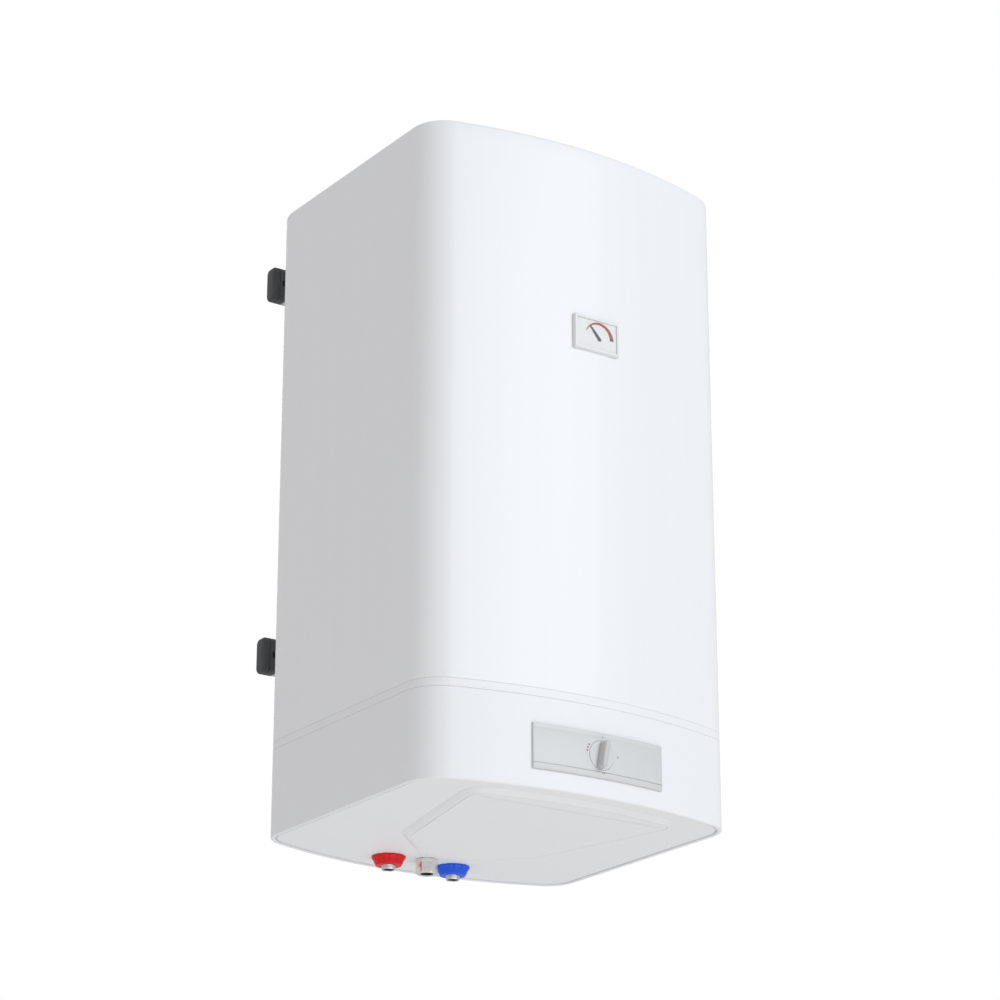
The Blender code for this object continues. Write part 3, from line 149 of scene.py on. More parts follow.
# ---- thermometer and control panel ----
DIAL_BEHIND = 0.0023  # from the thermometer frame's face back to its dial
SCALE_RADIUS = 0.0250
SCALE_RISE = 0.0015  # the scale is drawn round a point this far above the pivot
NEEDLE_LENGTH = 0.0255
NEEDLE_LEAN = 41  # degrees to the left of upright, as in the photo
FASCIA_THICK = 0.003
GROOVE_IN = 0.0085  # from the panel's long edges to its grooves
HUB_RADIUS = 0.0065
SHAFT_RADIUS = 0.0033
DISC_THICK = 0.004
GRIP_FOOT = 0.0125  # width of the grip on the disc
GRIP_CREST = 0.0085
GRIP_LEAN = 11  # degrees from upright, as in the photo


# ---- outlines ----

def arc(centre, radius, start, end, steps):
    """Points along an arc, both ends included, between two angles in radians."""
    points = []
    for i in range(steps + 1):
        angle = start + (end - start) * i / steps
        points.append((centre[0] + radius * math.cos(angle), centre[1] + radius * math.sin(angle)))
    return points


def crown(sagitta):
    """The radius of a bulge across the casing's width, and how far its centre is from the axis."""
    half = WIDTH / 2
    radius = (half**2 + sagitta**2) / (2 * sagitta)
    return radius, DEPTH / 2 - radius


def casing_outline(inset=0.0):
    """The casing's plan inset from its surface: a bulging rear and front with round corners."""
    outline = []
    for facing, sagitta, corner in ((1, REAR_CROWN, REAR_CORNER), (-1, FRONT_CROWN, FRONT_CORNER)):
        radius, centre = crown(sagitta)
        corner_x = WIDTH / 2 - corner
        corner_y = centre + math.sqrt((radius - corner)**2 - corner_x**2)
        lean = math.atan2(corner_y - centre, corner_x)
        half = arc((corner_x, corner_y), corner - inset, 0, lean, CORNER_STEPS)
        half += arc((0, centre), radius - inset, lean, math.pi - lean, CROWN_STEPS)[1:-1]
        half += arc((-corner_x, corner_y), corner - inset, math.pi - lean, math.pi, CORNER_STEPS)
        outline += [(facing * x, facing * y) for x, y in half]
    return outline


def front_y(x, outward=0.0):
    """Where the casing's front is at a place across it, or a surface that far in front of it."""
    radius, centre = crown(FRONT_CROWN)
    return -(centre + math.sqrt((radius + outward)**2 - x**2))


def round_rectangle(width, height, radius, steps=6):
    points = []
    for sx, sy, start in ((1, 1, 0), (-1, 1, 90), (-1, -1, 180), (1, -1, 270)):
        centre = (sx * (width / 2 - radius), sy * (height / 2 - radius))
        points += arc(centre, radius, math.radians(start), math.radians(start + 90), steps)
    return points


def rounded(points, radii, steps=4, closed=True):
    """A polyline with each corner turned into a curve that starts radius away from it."""
    points = [Vector(point) for point in points]
    count = len(points)
    if not hasattr(radii, "__len__"):
        radii = [radii] * count
    out = []
    for i, (corner, radius) in enumerate(zip(points, radii)):
        if not closed and i in (0, count - 1):
            out.append(tuple(corner))
            continue
        before, after = points[i - 1] - corner, points[(i + 1) % count] - corner
        reach = min(radius, 0.45 * before.length, 0.45 * after.length)
        start, end = corner + before.normalized() * reach, corner + after.normalized() * reach
        if reach < 1e-6:
            out.append(tuple(corner))
            continue
        for j in range(steps + 1):
            t = j / steps
            out.append(tuple((1 - t)**2 * start + 2 * t * (1 - t) * corner + t**2 * end))
    return out


def inset_loop(loop, inset):
    """A closed outline, drawn anticlockwise, moved inward along its corners' normals."""
    out = []
    count = len(loop)
    for i in range(count):
        before = Vector(loop[i]) - Vector(loop[i - 1])
        after = Vector(loop[(i + 1) % count]) - Vector(loop[i])
        normal_a = Vector((-before.y, before.x)).normalized()
        normal_b = Vector((-after.y, after.x)).normalized()
        shift = (normal_a + normal_b) / (1 + normal_a.dot(normal_b))
        out.append(tuple(Vector(loop[i]) + shift * inset))
    return out


def steps_between(start, end, count):
    return [start + (end - start) * i / count for i in range(count + 1)]


def at_height(outline, z):
    return [(x, y, z) for x, y in outline]


def at_depth(outline, y):
    return [(x, y, z) for x, z in outline]


def at_side(outline, x):
    return [(x, y, z) for y, z in outline]


# ---- materials ----

def node(tree, kind, **values):
    """A new shader node, with each value set on the input or the property of that name."""
    made = tree.nodes.new(kind)
    for key, value in values.items():
        if key in made.inputs:
            made.inputs[key].default_value = value
        else:
            setattr(made, key, value)
    return made


def surface(name, color, roughness, metallic=0.0, grain=900.0, mottle=0.02, bump=0.0,
            bump_grain=None, rough_swing=0.05, stretch=(1, 1, 1), coat=0.0, specular=0.5,
            alpha=1.0, cells=0.0):
    """A finish with colour and gloss that vary at the scale of its grain, and a fine relief."""
    look = bpy.data.materials.new(name)
    look.use_nodes = True
    tree = look.node_tree
    link = tree.links.new
    shader = tree.nodes["Principled BSDF"]
    for key, value in (("Metallic", metallic), ("Coat Weight", coat), ("Coat Roughness", 0.12),
                       ("Specular IOR Level", specular), ("Alpha", alpha)):
        shader.inputs[key].default_value = value
    place = node(tree, "ShaderNodeTexCoord")
    scaled = node(tree, "ShaderNodeMapping", Scale=stretch)
    link(place.outputs["Object"], scaled.inputs["Vector"])
    noise = node(tree, "ShaderNodeTexNoise", Scale=grain, Detail=4.0, Roughness=0.55)
    link(scaled.outputs["Vector"], noise.inputs["Vector"])
    source = noise.outputs["Fac"]
    if cells:
        voronoi = node(tree, "ShaderNodeTexVoronoi", Scale=cells)
        link(scaled.outputs["Vector"], voronoi.inputs["Vector"])
        spread = node(tree, "ShaderNodeSeparateColor")
        link(voronoi.outputs["Color"], spread.inputs["Color"])
        source = spread.outputs["Red"]
    ramp = node(tree, "ShaderNodeValToRGB")
    ramp.color_ramp.elements[0].position = 0.25
    ramp.color_ramp.elements[1].position = 0.75
    ramp.color_ramp.elements[0].color = (*[c * (1 - mottle) for c in color], 1)
    ramp.color_ramp.elements[1].color = (*[min(1.0, c * (1 + mottle)) for c in color], 1)
    link(source, ramp.inputs["Fac"])
    link(ramp.outputs["Color"], shader.inputs["Base Color"])
    gloss = node(tree, "ShaderNodeMapRange")
    gloss.inputs["To Min"].default_value = max(0.0, roughness - rough_swing)
    gloss.inputs["To Max"].default_value = min(1.0, roughness + rough_swing)
    link(source, gloss.inputs["Value"])
    link(gloss.outputs["Result"], shader.inputs["Roughness"])
    if bump:
        relief = node(tree, "ShaderNodeTexNoise", Scale=bump_grain or grain, Detail=3.0)
        link(scaled.outputs["Vector"], relief.inputs["Vector"])
        raised = node(tree, "ShaderNodeBump", Strength=1.0, Distance=bump)
        link(relief.outputs["Fac"], raised.inputs["Height"])
        link(raised.outputs["Normal"], shader.inputs["Normal"])
    look.diffuse_color = (*color, 1)
    return look


FINISH_VALUES = {
    "painted_steel": dict(
        color=(0.860, 0.860, 0.875), roughness=0.38, grain=90, mottle=0.006, stretch=(1, 1, 0.03),
        bump=0.00001, bump_grain=700, rough_swing=0.03, coat=0.15),
    "white_plastic": dict(
        color=(0.850, 0.850, 0.865), roughness=0.42, grain=60, mottle=0.006, bump=0.000012,
        bump_grain=2500, rough_swing=0.04),
    "silver_plastic": dict(
        color=(0.64, 0.645, 0.65), roughness=0.5, metallic=0.12, bump=0.000006, bump_grain=4000,
        stretch=(0.12, 1, 1)),
    "dark_plastic": dict(
        color=(0.045, 0.046, 0.050), roughness=0.5, mottle=0.12, bump=0.00003, bump_grain=3000),
    "dial_white": dict(
        color=(0.80, 0.785, 0.785), roughness=0.5, grain=700, mottle=0.012, bump=0.000004,
        bump_grain=5000),
    "needle_black": dict(
        color=(0.025, 0.025, 0.027), roughness=0.45, grain=2500, mottle=0.15, bump=0.000006),
    "clear_plastic": dict(
        color=(0.95, 0.96, 0.97), roughness=0.06, grain=60, mottle=0.005, rough_swing=0.02,
        alpha=0.05),
    "red_plastic": dict(
        color=(0.74, 0.010, 0.014), roughness=0.42, specular=0.3, grain=500, mottle=0.06,
        bump=0.00001, bump_grain=3000),
    "blue_plastic": dict(
        color=(0.018, 0.115, 0.80), roughness=0.42, specular=0.3, grain=500, mottle=0.06,
        bump=0.00001, bump_grain=3000),
    "chrome": dict(
        color=(0.74, 0.74, 0.75), roughness=0.16, metallic=1.0, grain=350, mottle=0.04,
        bump=0.000006, bump_grain=900, rough_swing=0.06),
    "nickel": dict(
        color=(0.82, 0.81, 0.78), roughness=0.17, metallic=1.0, grain=450, mottle=0.08,
        bump=0.00001, bump_grain=1600, rough_swing=0.08),
    "galvanised_steel": dict(
        color=(0.50, 0.52, 0.54), roughness=0.42, metallic=0.9, grain=200, mottle=0.16, cells=110,
        bump=0.00001, bump_grain=900, rough_swing=0.12),
    "zinc_steel": dict(
        color=(0.58, 0.58, 0.55), roughness=0.34, metallic=1.0, grain=600, mottle=0.10,
        bump=0.00001, bump_grain=1500, rough_swing=0.10),
    "stainless_steel": dict(
        color=(0.56, 0.56, 0.57), roughness=0.30, metallic=1.0, mottle=0.06, stretch=(1, 1, 0.05),
        rough_swing=0.08),
    "blue_enamel": dict(
        color=(0.05, 0.09, 0.22), roughness=0.22, grain=180, mottle=0.18, bump=0.00005,
        bump_grain=260, coat=0.4),
    "insulation_foam": dict(
        color=(0.80, 0.68, 0.38), roughness=0.95, grain=300, mottle=0.12, bump=0.0004,
        bump_grain=420),
    "rubber": dict(
        color=(0.028, 0.028, 0.029), roughness=0.72, mottle=0.15, bump=0.00003, bump_grain=2200),
    "magnesium": dict(
        color=(0.45, 0.45, 0.44), roughness=0.6, metallic=0.8, grain=500, mottle=0.14,
        bump=0.00008, bump_grain=600),
    "copper": dict(
        color=(0.72, 0.36, 0.20), roughness=0.34, metallic=1.0, grain=500, mottle=0.14,
        rough_swing=0.1),
    "wire_brown": dict(color=(0.20, 0.08, 0.03), roughness=0.5, mottle=0.08),
    "wire_blue": dict(color=(0.05, 0.15, 0.55), roughness=0.5, mottle=0.08),
    "wire_green": dict(color=(0.25, 0.55, 0.08), roughness=0.5, mottle=0.3, stretch=(1, 1, 0.2)),
}
FINISHES = {name: surface(name, **values) for name, values in FINISH_VALUES.items()}
BEZEL_SILVER = surface("bezel_silver", (0.78, 0.785, 0.79), 0.42, 0.1, mottle=0.02,
                       bump=0.000006, bump_grain=4000)
SCALE_RED = surface("scale_red", (0.33, 0.035, 0.035), 0.5, grain=500, mottle=0.06)
SCALE_DARK = surface("scale_dark", (0.06, 0.045, 0.05), 0.5, mottle=0.1)
# painted shade: a near-black finish that stands for the shade deep inside the pipes' bores
BORE_PAINTED_SHADE = surface("bore_painted_shade", (0.035, 0.033, 0.030), 0.6, 0.3, grain=300, mottle=0.2)
# painted shade: a darker copy of the panel's silver, which deepens the shade on the knob grip's side walls
GRIP_SHADED_SILVER = surface("grip_silver_painted_shade", (0.55, 0.555, 0.56), 0.5, 0.1, grain=1200, mottle=0.03,
                      bump=0.000008, bump_grain=4000)
PRINT_GREY = surface("print_grey", (0.19, 0.20, 0.21), 0.5, mottle=0.08)

for item in frame["nodes"].values():
    item.data.materials.clear()
for row in frame["record"]["subparts"]:
    frame["nodes"][row["node"]].data.materials.append(FINISHES[row["material_slot"]])


# ---- building pieces ----

def loft(loops, ring=False):
    """Skins closed loops of equal length: capped at both ends, or joined end to start."""
    bm = bmesh.new()
    rows = [[bm.verts.new(point) for point in loop] for loop in loops]
    count = len(rows[0])
    pairs = list(zip(rows, rows[1:]))
    if ring:
        pairs.append((rows[-1], rows[0]))
    else:
        bm.faces.new(rows[0])
        bm.faces.new(rows[-1])
    for low, high in pairs:
        for i in range(count):
            j = (i + 1) % count
            bm.faces.new((low[i], low[j], high[j], high[i]))
    return bm


def in_scene(name, data):
    """A new object in the scene, of a mesh, a lamp or a camera."""
    item = bpy.data.objects.new(name, data)
    bpy.context.scene.collection.objects.link(item)
    return item


def mesh_of(name, bm, sharp=38):
    """A cleaned mesh, smooth but for edges that turn by more than sharp degrees."""
    bmesh.ops.remove_doubles(bm, verts=bm.verts, dist=1e-7)
    bmesh.ops.dissolve_degenerate(bm, edges=bm.edges, dist=1e-7)
    bmesh.ops.recalc_face_normals(bm, faces=bm.faces)
    mesh = bpy.data.meshes.new(name)
    bm.to_mesh(mesh)
    bm.free()
    mesh.shade_smooth()
    mesh.set_sharp_from_angle(angle=math.radians(sharp))
    return mesh


def piece(name, bm, slot, nodes=(), body="heater", look=None, cutters=(), sharp=38):
    """One visible piece: set in place, finished, and standing for its CAD nodes."""
    item = in_scene(name, mesh_of(name, bm, sharp))
    item.location = HOME
    item.data.materials.append(look or FINISHES[slot])
    if cutters:
        cut_through(item, cutters, sharp)
    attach(item, body)
    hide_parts(*nodes)
    return item


def cut_through(item, cutters, sharp):
    """Cuts the shapes in cutters, each a bmesh in the casing's frame, out of item for good."""
    tools = []
    for cutter in cutters:
        tool = in_scene("cutter", mesh_of("cutter", cutter))
        tool.location = HOME
        boolean = item.modifiers.new("cut", "BOOLEAN")
        boolean.operation = "DIFFERENCE"
        boolean.solver = "EXACT"
        boolean.object = tool
        tools.append(tool)
    bpy.context.view_layer.update()
    evaluated = item.evaluated_get(bpy.context.evaluated_depsgraph_get())
    mesh = bpy.data.meshes.new_from_object(evaluated)
    item.modifiers.clear()
    item.data = mesh
    mesh.shade_smooth()
    mesh.set_sharp_from_angle(angle=math.radians(sharp))
    for tool in tools:
        bpy.data.objects.remove(tool)


def ring_piece(name, section, slot, nodes, **options):
    """A wall right round the casing, from its section as (inset, height) points."""
    bm = loft([at_height(casing_outline(inset), z) for inset, z in section], ring=True)
    return piece(name, bm, slot, nodes, **options)


def turned(profile, steps, centre=(0, 0), shape=None, ring=True):
    """A turned shape about an upright axis; shape(radius, z, angle) may change each radius."""
    loops = []
    for radius, z in profile:
        loop = []
        for i in range(steps):
            angle = 2 * math.pi * i / steps
            reach = shape(radius, z, angle) if shape else radius
            loop.append((centre[0] + reach * math.cos(angle),
                         centre[1] + reach * math.sin(angle), z))
        loops.append(loop)
    return loft(loops, ring=ring)


def set_at(bm, at, turn):
    """Turns a shape and sets it at a place, both in the casing's frame."""
    bmesh.ops.transform(bm, matrix=Matrix.Translation(at) @ turn, verts=bm.verts)


def lay_forward(bm, at):
    """Turns a shape drawn about Z to face out of the heater's front, and sets it at a place."""
    set_at(bm, at, Matrix.Rotation(math.pi / 2, 4, "X"))


def lay_back(bm, at):
    """Turns a shape drawn about Z to point at the wall, and sets it at a place."""
    set_at(bm, at, Matrix.Rotation(-math.pi / 2, 4, "X"))


def rod_cutter(radius, start, end, steps=48):
    """A round cutter between two points along one of the casing's axes."""
    start, end = Vector(start), Vector(end)
    bm = turned([(radius, 0), (radius, (end - start).length)], steps, ring=False)
    turn = Vector((0, 0, 1)).rotation_difference(end - start).to_matrix().to_4x4()
    set_at(bm, start, turn)
    return bm


def box_cutter(low, high):
    low, high = Vector(low), Vector(high)
    bm = bmesh.new()
    bmesh.ops.create_cube(bm, size=1.0)
    bmesh.ops.scale(bm, vec=high - low, verts=bm.verts)
    bmesh.ops.translate(bm, vec=(low + high) / 2, verts=bm.verts)
    return bm


def thread(depth, pitch, low, high, least):
    """Cuts a helical thread into radii over least, between two heights; runs out at both ends."""
    def shape(radius, z, angle):
        if radius < least or not low <= z <= high:
            return radius
        turn = ((z - low) / pitch + angle / (2 * math.pi)) % 1.0
        groove = 1 - min(1.0, abs(turn - 0.5) * 2 / 0.85)
        fade = min(1.0, (high - z) / pitch, (z - low) / (0.5 * pitch) + 0.35)
        return radius - depth * groove * fade
    return shape


# ---- casing ----

def make_jacket():
    """The sheet round the heater: a fine hem, upright walls and a rolled edge with a lip inward."""
    low, high = BAND_TOP + SEAM, HEIGHT
    centre = (0, high - TOP_EDGE)
    roll = [(TOP_EDGE - x, z) for x, z in arc(centre, TOP_EDGE, 0, math.pi / 2, 10)]
    inner = [(TOP_EDGE - x, z) for x, z in arc(centre, TOP_EDGE - SHEET, math.pi / 2, 0, 10)]
    hem = [(0.00025, low), (0.0, low + 0.0003)]
    levels = [(0.0, z) for z in steps_between(low + 0.02, high - TOP_EDGE - 0.02, 12)]
    lip = [(TOP_LIP - 0.0003, high), (TOP_LIP, high - SHEET / 2), (TOP_LIP - 0.0003, high - SHEET)]
    section = hem + levels + roll + lip + inner + [(SHEET, low)]
    box_low, box_high = local_box("gauge_housing")
    window = box_cutter((box_low.x - GAP, FRONT - 0.02, box_low.z - GAP),
                        (box_high.x + GAP, FRONT + 0.03, box_high.z + GAP))
    holes = [rod_cutter(STUD_HOLE, (x, BACK - 0.04, z), (x, BACK + 0.02, z))
             for x, z in stud_places()]
    ring_piece("casing_jacket", section, "painted_steel", ["upper_jacket"], cutters=[window] + holes)


def stud_places():
    """Where the hanger studs' axes cross the casing's back, in order, as (x, z)."""
    places = []
    for number in (1, 2, 3, 4):
        x, _, z = middle_of("hanger_stud_%d" % number)
        places.append((x, z))
    return places


def make_top_cover():
    """A pressed lid under the jacket's lip, with a raised field and a stiffening bead."""
    low, high = local_box("top_cover")
    inset = 0.006
    profile = [(inset, low.z), (inset, high.z), (0.020, high.z), (0.0225, high.z + 0.0009),
               (0.026, high.z + 0.0009), (0.029, high.z), (0.036, high.z), (0.040, high.z - 0.0014)]
    profile = rounded(profile, 0.0012, 3, closed=False)
    bm = loft([at_height(casing_outline(i), z) for i, z in profile])
    piece("casing_top", bm, "painted_steel", ["top_cover"])


def make_band():
    """The strip between jacket and skirt, with a tongue behind both."""
    low, high = SKIRT_TOP + SEAM, BAND_TOP
    tongue = SKIRT_WALL + GAP
    back = tongue + BAND_TONGUE
    section = [(0.0001, low), (0.0001, high), (tongue, high), (tongue, high + BAND_REACH),
               (back, high + BAND_REACH), (back, low - BAND_REACH), (tongue, low - BAND_REACH),
               (tongue, low)]
    ring_piece("casing_band", rounded(section, 0.0003, 3), "white_plastic", ["joint_band"])


def make_skirt():
    """The moulded lower cover: a rounded rim with a lip inward, and a ledge over the plate."""
    ledge = local_box("bottom_plate")[1].z + GAP
    lip = RIM_LIP + LEDGE_WIDTH
    corners = [(0, SKIRT_TOP), (0, 0), (RIM_LIP, 0), (RIM_LIP, ledge), (lip, ledge),
               (lip, ledge + SKIRT_WALL), (SKIRT_WALL, ledge + SKIRT_WALL), (SKIRT_WALL, SKIRT_TOP)]
    radii = [0.0006, RIM_ROUND * 1.4, 0.0029, 0.0003, 0.0003, 0.0003, 0.001, 0.0006]
    section = rounded(corners, radii, 6)
    upper = [(0.0, z) for z in steps_between(SKIRT_TOP - 0.012, 0.02, 8)]
    section = section[:7] + upper + section[7:]
    window_low, window_high = local_box("control_fascia")
    knob_low, knob_high = local_box("knob_disc")
    window = box_cutter((window_low.x + WINDOW_REBATE, FRONT - 0.03, knob_low.z - WINDOW_CLEAR),
                        (window_high.x - WINDOW_REBATE, FRONT + 0.03, knob_high.z + WINDOW_CLEAR))
    z = middle_of("cable_grommet")[2]
    hole = rod_cutter(0.0083, (0, BACK - 0.02, z), (0, BACK + 0.02, z))
    ring_piece("casing_skirt", section, "white_plastic", ["lower_skirt"], cutters=[window, hole])


def bend(start, corner, toward, steps):
    """A round corner: a quadratic curve from start, round the corner, a little towards the next point."""
    end = corner + (toward - corner) * 0.12
    corner = Vector((corner.x, start.y + (corner.y - start.y) * 0.6))
    points = []
    for i in range(1, steps + 1):
        t = i / steps
        points.append(tuple((1 - t)**2 * start + 2 * t * (1 - t) * corner + t**2 * end))
    return points


def service_outline():
    """The service panel's plan: a bowed front, tapering sides, cut-off rear corners, a bowed rear."""
    high = local_box("service_panel")[1]
    radius, centre = crown(FRONT_CROWN)
    front_radius = radius - SERVICE_FRONT_INSET
    front_corner = Vector((high.x, FRONT + SERVICE_CORNER_BACK))
    waist = Vector((SERVICE_WAIST_HALF, high.y - SERVICE_REAR_BOW - SERVICE_WAIST_RUN))
    rear_radius = (SERVICE_REAR_HALF**2 + SERVICE_REAR_BOW**2) / (2 * SERVICE_REAR_BOW)
    spread = math.asin(SERVICE_REAR_HALF / rear_radius)
    rear = arc((0, high.y - rear_radius), rear_radius, math.pi / 2 - spread, math.pi / 2 + spread, 24)
    reach = math.asin((front_corner.x - SERVICE_CORNER) / front_radius)
    front = arc((0, -centre), front_radius, -math.pi / 2 - reach, -math.pi / 2 + reach, 60)
    right = bend(Vector(front[-1]), front_corner, waist, 20) + [tuple(waist)]
    left = [(-x, y) for x, y in reversed(right)]
    return smooth_loop(even_loop(front + right + rear + left, SERVICE_STEPS), 16)


def even_loop(points, count):
    """The same closed outline as count points spread evenly along it."""
    points = [Vector(point) for point in points]
    ends = points[1:] + points[:1]
    lengths = [(b - a).length for a, b in zip(points, ends)]
    total, out, index, walked = sum(lengths), [], 0, 0.0
    for i in range(count):
        target = total * i / count
        while walked + lengths[index] < target:
            walked += lengths[index]
            index += 1
        share = (target - walked) / lengths[index]
        out.append(tuple(points[index].lerp(ends[index], share)))
    return out


def smooth_loop(loop, passes):
    """Evens out a closed outline's corners, each point drawn towards its two neighbours."""
    for _ in range(passes):
        points = [Vector(point) for point in loop]
        after = points[1:] + points[:1]
        loop = [tuple((points[i - 1] + 2 * points[i] + after[i]) / 4) for i in range(len(points))]
    return loop


def make_underside():
    """The bottom plate, with its pipe holes and opening, and the raised service panel over that."""
    low, high = local_box("bottom_plate")
    edge = WIDTH / 2 - high.x
    corners = [(edge, high.z), (edge, low.z), (edge + 0.004, low.z)]
    profile = rounded(corners, 0.0003, 3, closed=False)
    bm = loft([at_height(casing_outline(i), z) for i, z in profile])
    outline = service_outline()
    opening = loft([at_height(inset_loop(outline, SERVICE_FLANGE), z) for z in (-0.02, 0.02)])
    cutters = [opening]
    for name in ("hot_outlet_pipe", "cold_inlet_pipe", "circulation_socket"):
        x, y, _ = middle_of(name)
        cutters.append(rod_cutter(PIPE_HOLE, (x, y, -0.02), (x, y, 0.02)))
    piece("underside_plate", bm, "white_plastic", ["bottom_plate"], cutters=cutters)

    low, high = local_box("service_panel")
    top, floor = high.z + 0.00025, low.z
    groove, depth = SERVICE_BEVEL + 0.0008, 0.0017
    corners = [(SERVICE_BEVEL + 0.014, floor), (groove + 0.0026, floor),
               (groove + 0.0019, floor + depth), (groove + 0.0004, floor + depth),
               (groove - 0.0002, floor + 0.0001), (SERVICE_BEVEL - 0.0014, floor + 0.0006),
               (0.0006, top - 0.0008), (0, top)]
    radii = [0, 0.0004, 0.0002, 0.0002, 0.0004, 0.002, 0.0004, 0]
    outer = rounded(corners, radii, 5, closed=False)
    inner = [(SERVICE_WALL, top), (SERVICE_BEVEL + SERVICE_WALL * 0.6, floor + SERVICE_WALL)]
    bm = loft([at_height(inset_loop(outline, i), z) for i, z in outer + inner])
    piece("service_cover", bm, "white_plastic", ["service_panel"])


# ---- water connections ----

def make_pipes():
    """The hot and cold pipes, threaded on the ends that stand out below the casing."""
    for name, node_name in (("hot_pipe", "hot_outlet_pipe"), ("cold_pipe", "cold_inlet_pipe")):
        low, high = local_box(node_name)
        x, y, _ = middle_of(node_name)
        radius = (high.x - low.x) / 2
        end, top = low.z, low.z + PIPE_THREAD_RUN
        outer = [(radius - 0.0008, end), (radius, end + 0.0008)]
        outer += [(radius, z) for z in steps_between(end + 0.0009, top, 96)]
        outer += [(radius, top + 0.002), (radius, high.z)]
        inner = [(PIPE_BORE, high.z), (PIPE_BORE, end + 0.0008), (PIPE_BORE + 0.0006, end)]
        bm = turned(outer + inner, 72, (x, y), thread(0.0007, PIPE_PITCH, end, top, radius - 0.0001))
        # the bore's inner faces get painted shade
        paint_bore_shade(piece(name, bm, "chrome", [node_name], sharp=50), (x, y), PIPE_BORE + 0.0004)


def paint_bore_shade(item, centre, radius):
    """Gives the faces within radius of a pipe's axis a near-black colour: painted shade deep in its bore."""
    item.data.materials.append(BORE_PAINTED_SHADE)
    for face in item.data.polygons:
        points = [item.data.vertices[i].co for i in face.vertices]
        if all(math.hypot(p.x + item.location.x - HOME.x - centre[0],
                          p.y + item.location.y - HOME.y - centre[1]) < radius for p in points):
            face.material_index = 1


def hexagon(flats):
    """The distance from a hexagon's middle to its side at an angle, with slightly soft corners."""
    def reach(angle):
        from_flat = (angle % (math.pi / 3)) - math.pi / 6
        return min(flats / 2 / math.cos(from_flat), flats / 2 / math.cos(math.pi / 6) - 0.0002)
    return reach


def make_socket():
    """The hexagonal collar in the middle, threaded inside, on its own short pipe."""
    low, high = local_box("circulation_socket")
    x, y, _ = middle_of("circulation_socket")
    end, collar = low.z, local_box("service_panel")[1].z
    thread_top, half = end + SOCKET_THREAD_RUN, HEX_FLATS / 2
    reach = hexagon(HEX_FLATS)
    cut_thread = thread(0.0006, PIPE_PITCH, end, thread_top, 0.0)

    def shape(radius, z, angle):
        if radius > PIPE_RADIUS + 0.001:
            depth = min(z - end, collar - z)
            return min(reach(angle + math.pi / 6), half + 0.0001 + depth * 1.6)
        if radius < PIPE_RADIUS and z < thread_top:
            return cut_thread(radius, z, angle)
        return radius

    outer = [(half, z) for z in (end, end + 0.0003, end + 0.0006, end + 0.001, end + 0.0014)]
    outer += [(half, z) for z in steps_between(end + 0.003, collar - 0.0014, 6)]
    outer += [(half, z) for z in (collar - 0.001, collar - 0.0006, collar - 0.0003, collar)]
    outer += [(PIPE_RADIUS, collar), (PIPE_RADIUS, high.z)]
    inner = [(PIPE_BORE, high.z), (PIPE_BORE, thread_top + 0.001), (SOCKET_BORE, thread_top + 0.0002)]
    inner += [(SOCKET_BORE, z) for z in steps_between(thread_top, end + 0.0006, 60)]
    inner += [(SOCKET_BORE + 0.0006, end)]
    bm = turned(outer + inner, 96, (x, y), shape)
    item = piece("hex_socket", bm, "nickel", ["circulation_socket"], sharp=28)
    # the threaded mouth's inner faces get painted shade
    paint_bore_shade(item, (x, y), SOCKET_BORE + 0.0004)


def make_rosettes():
    """The coloured collars round the two pipes: ribbed cones, deepest ribs at the plate."""
    for name, slot in (("hot_rosette", "red_plastic"), ("cold_rosette", "blue_plastic")):
        low, high = local_box(name)
        x, y, _ = middle_of(name)
        rim, foot, top = (high.x - low.x) / 2, low.z, high.z
        brim = top - ROSETTE_BRIM
        outer = [(rim, top), (rim, brim), (rim - 0.0022, brim - 0.0028),
                 (ROSETTE_NECK + 0.0015, foot + 0.003), (ROSETTE_NECK, foot), (ROSETTE_BORE, foot)]
        inner = [(ROSETTE_BORE, foot + ROSETTE_WALL), (ROSETTE_NECK - ROSETTE_WALL, foot + ROSETTE_WALL),
                 (rim - ROSETTE_WALL - 0.001, brim), (rim - ROSETTE_WALL, top)]
        radii = [0.0004, 0.0008, 0.0015, 0.003, 0.0012, 0.0004, 0.0004, 0.001, 0.001, 0.0004]

        def shape(radius, z, angle):
            if radius < ROSETTE_NECK:
                return radius
            share = max(0.0, min(1.0, (z - foot) / (top - foot)))
            rib = max(0.0, math.cos(ROSETTE_RIBS * angle))**6
            spread = 0.35 + 0.65 * (radius - ROSETTE_NECK) / (rim - ROSETTE_NECK)
            return radius - 0.0016 * rib * min(1.0, share * 1.6) * spread

        bm = turned(rounded(outer + inner, radii, 5), 240, (x, y), shape)
        piece("collar_" + name.split("_")[0], bm, slot, [name], sharp=50)


# ---- wall rails ----

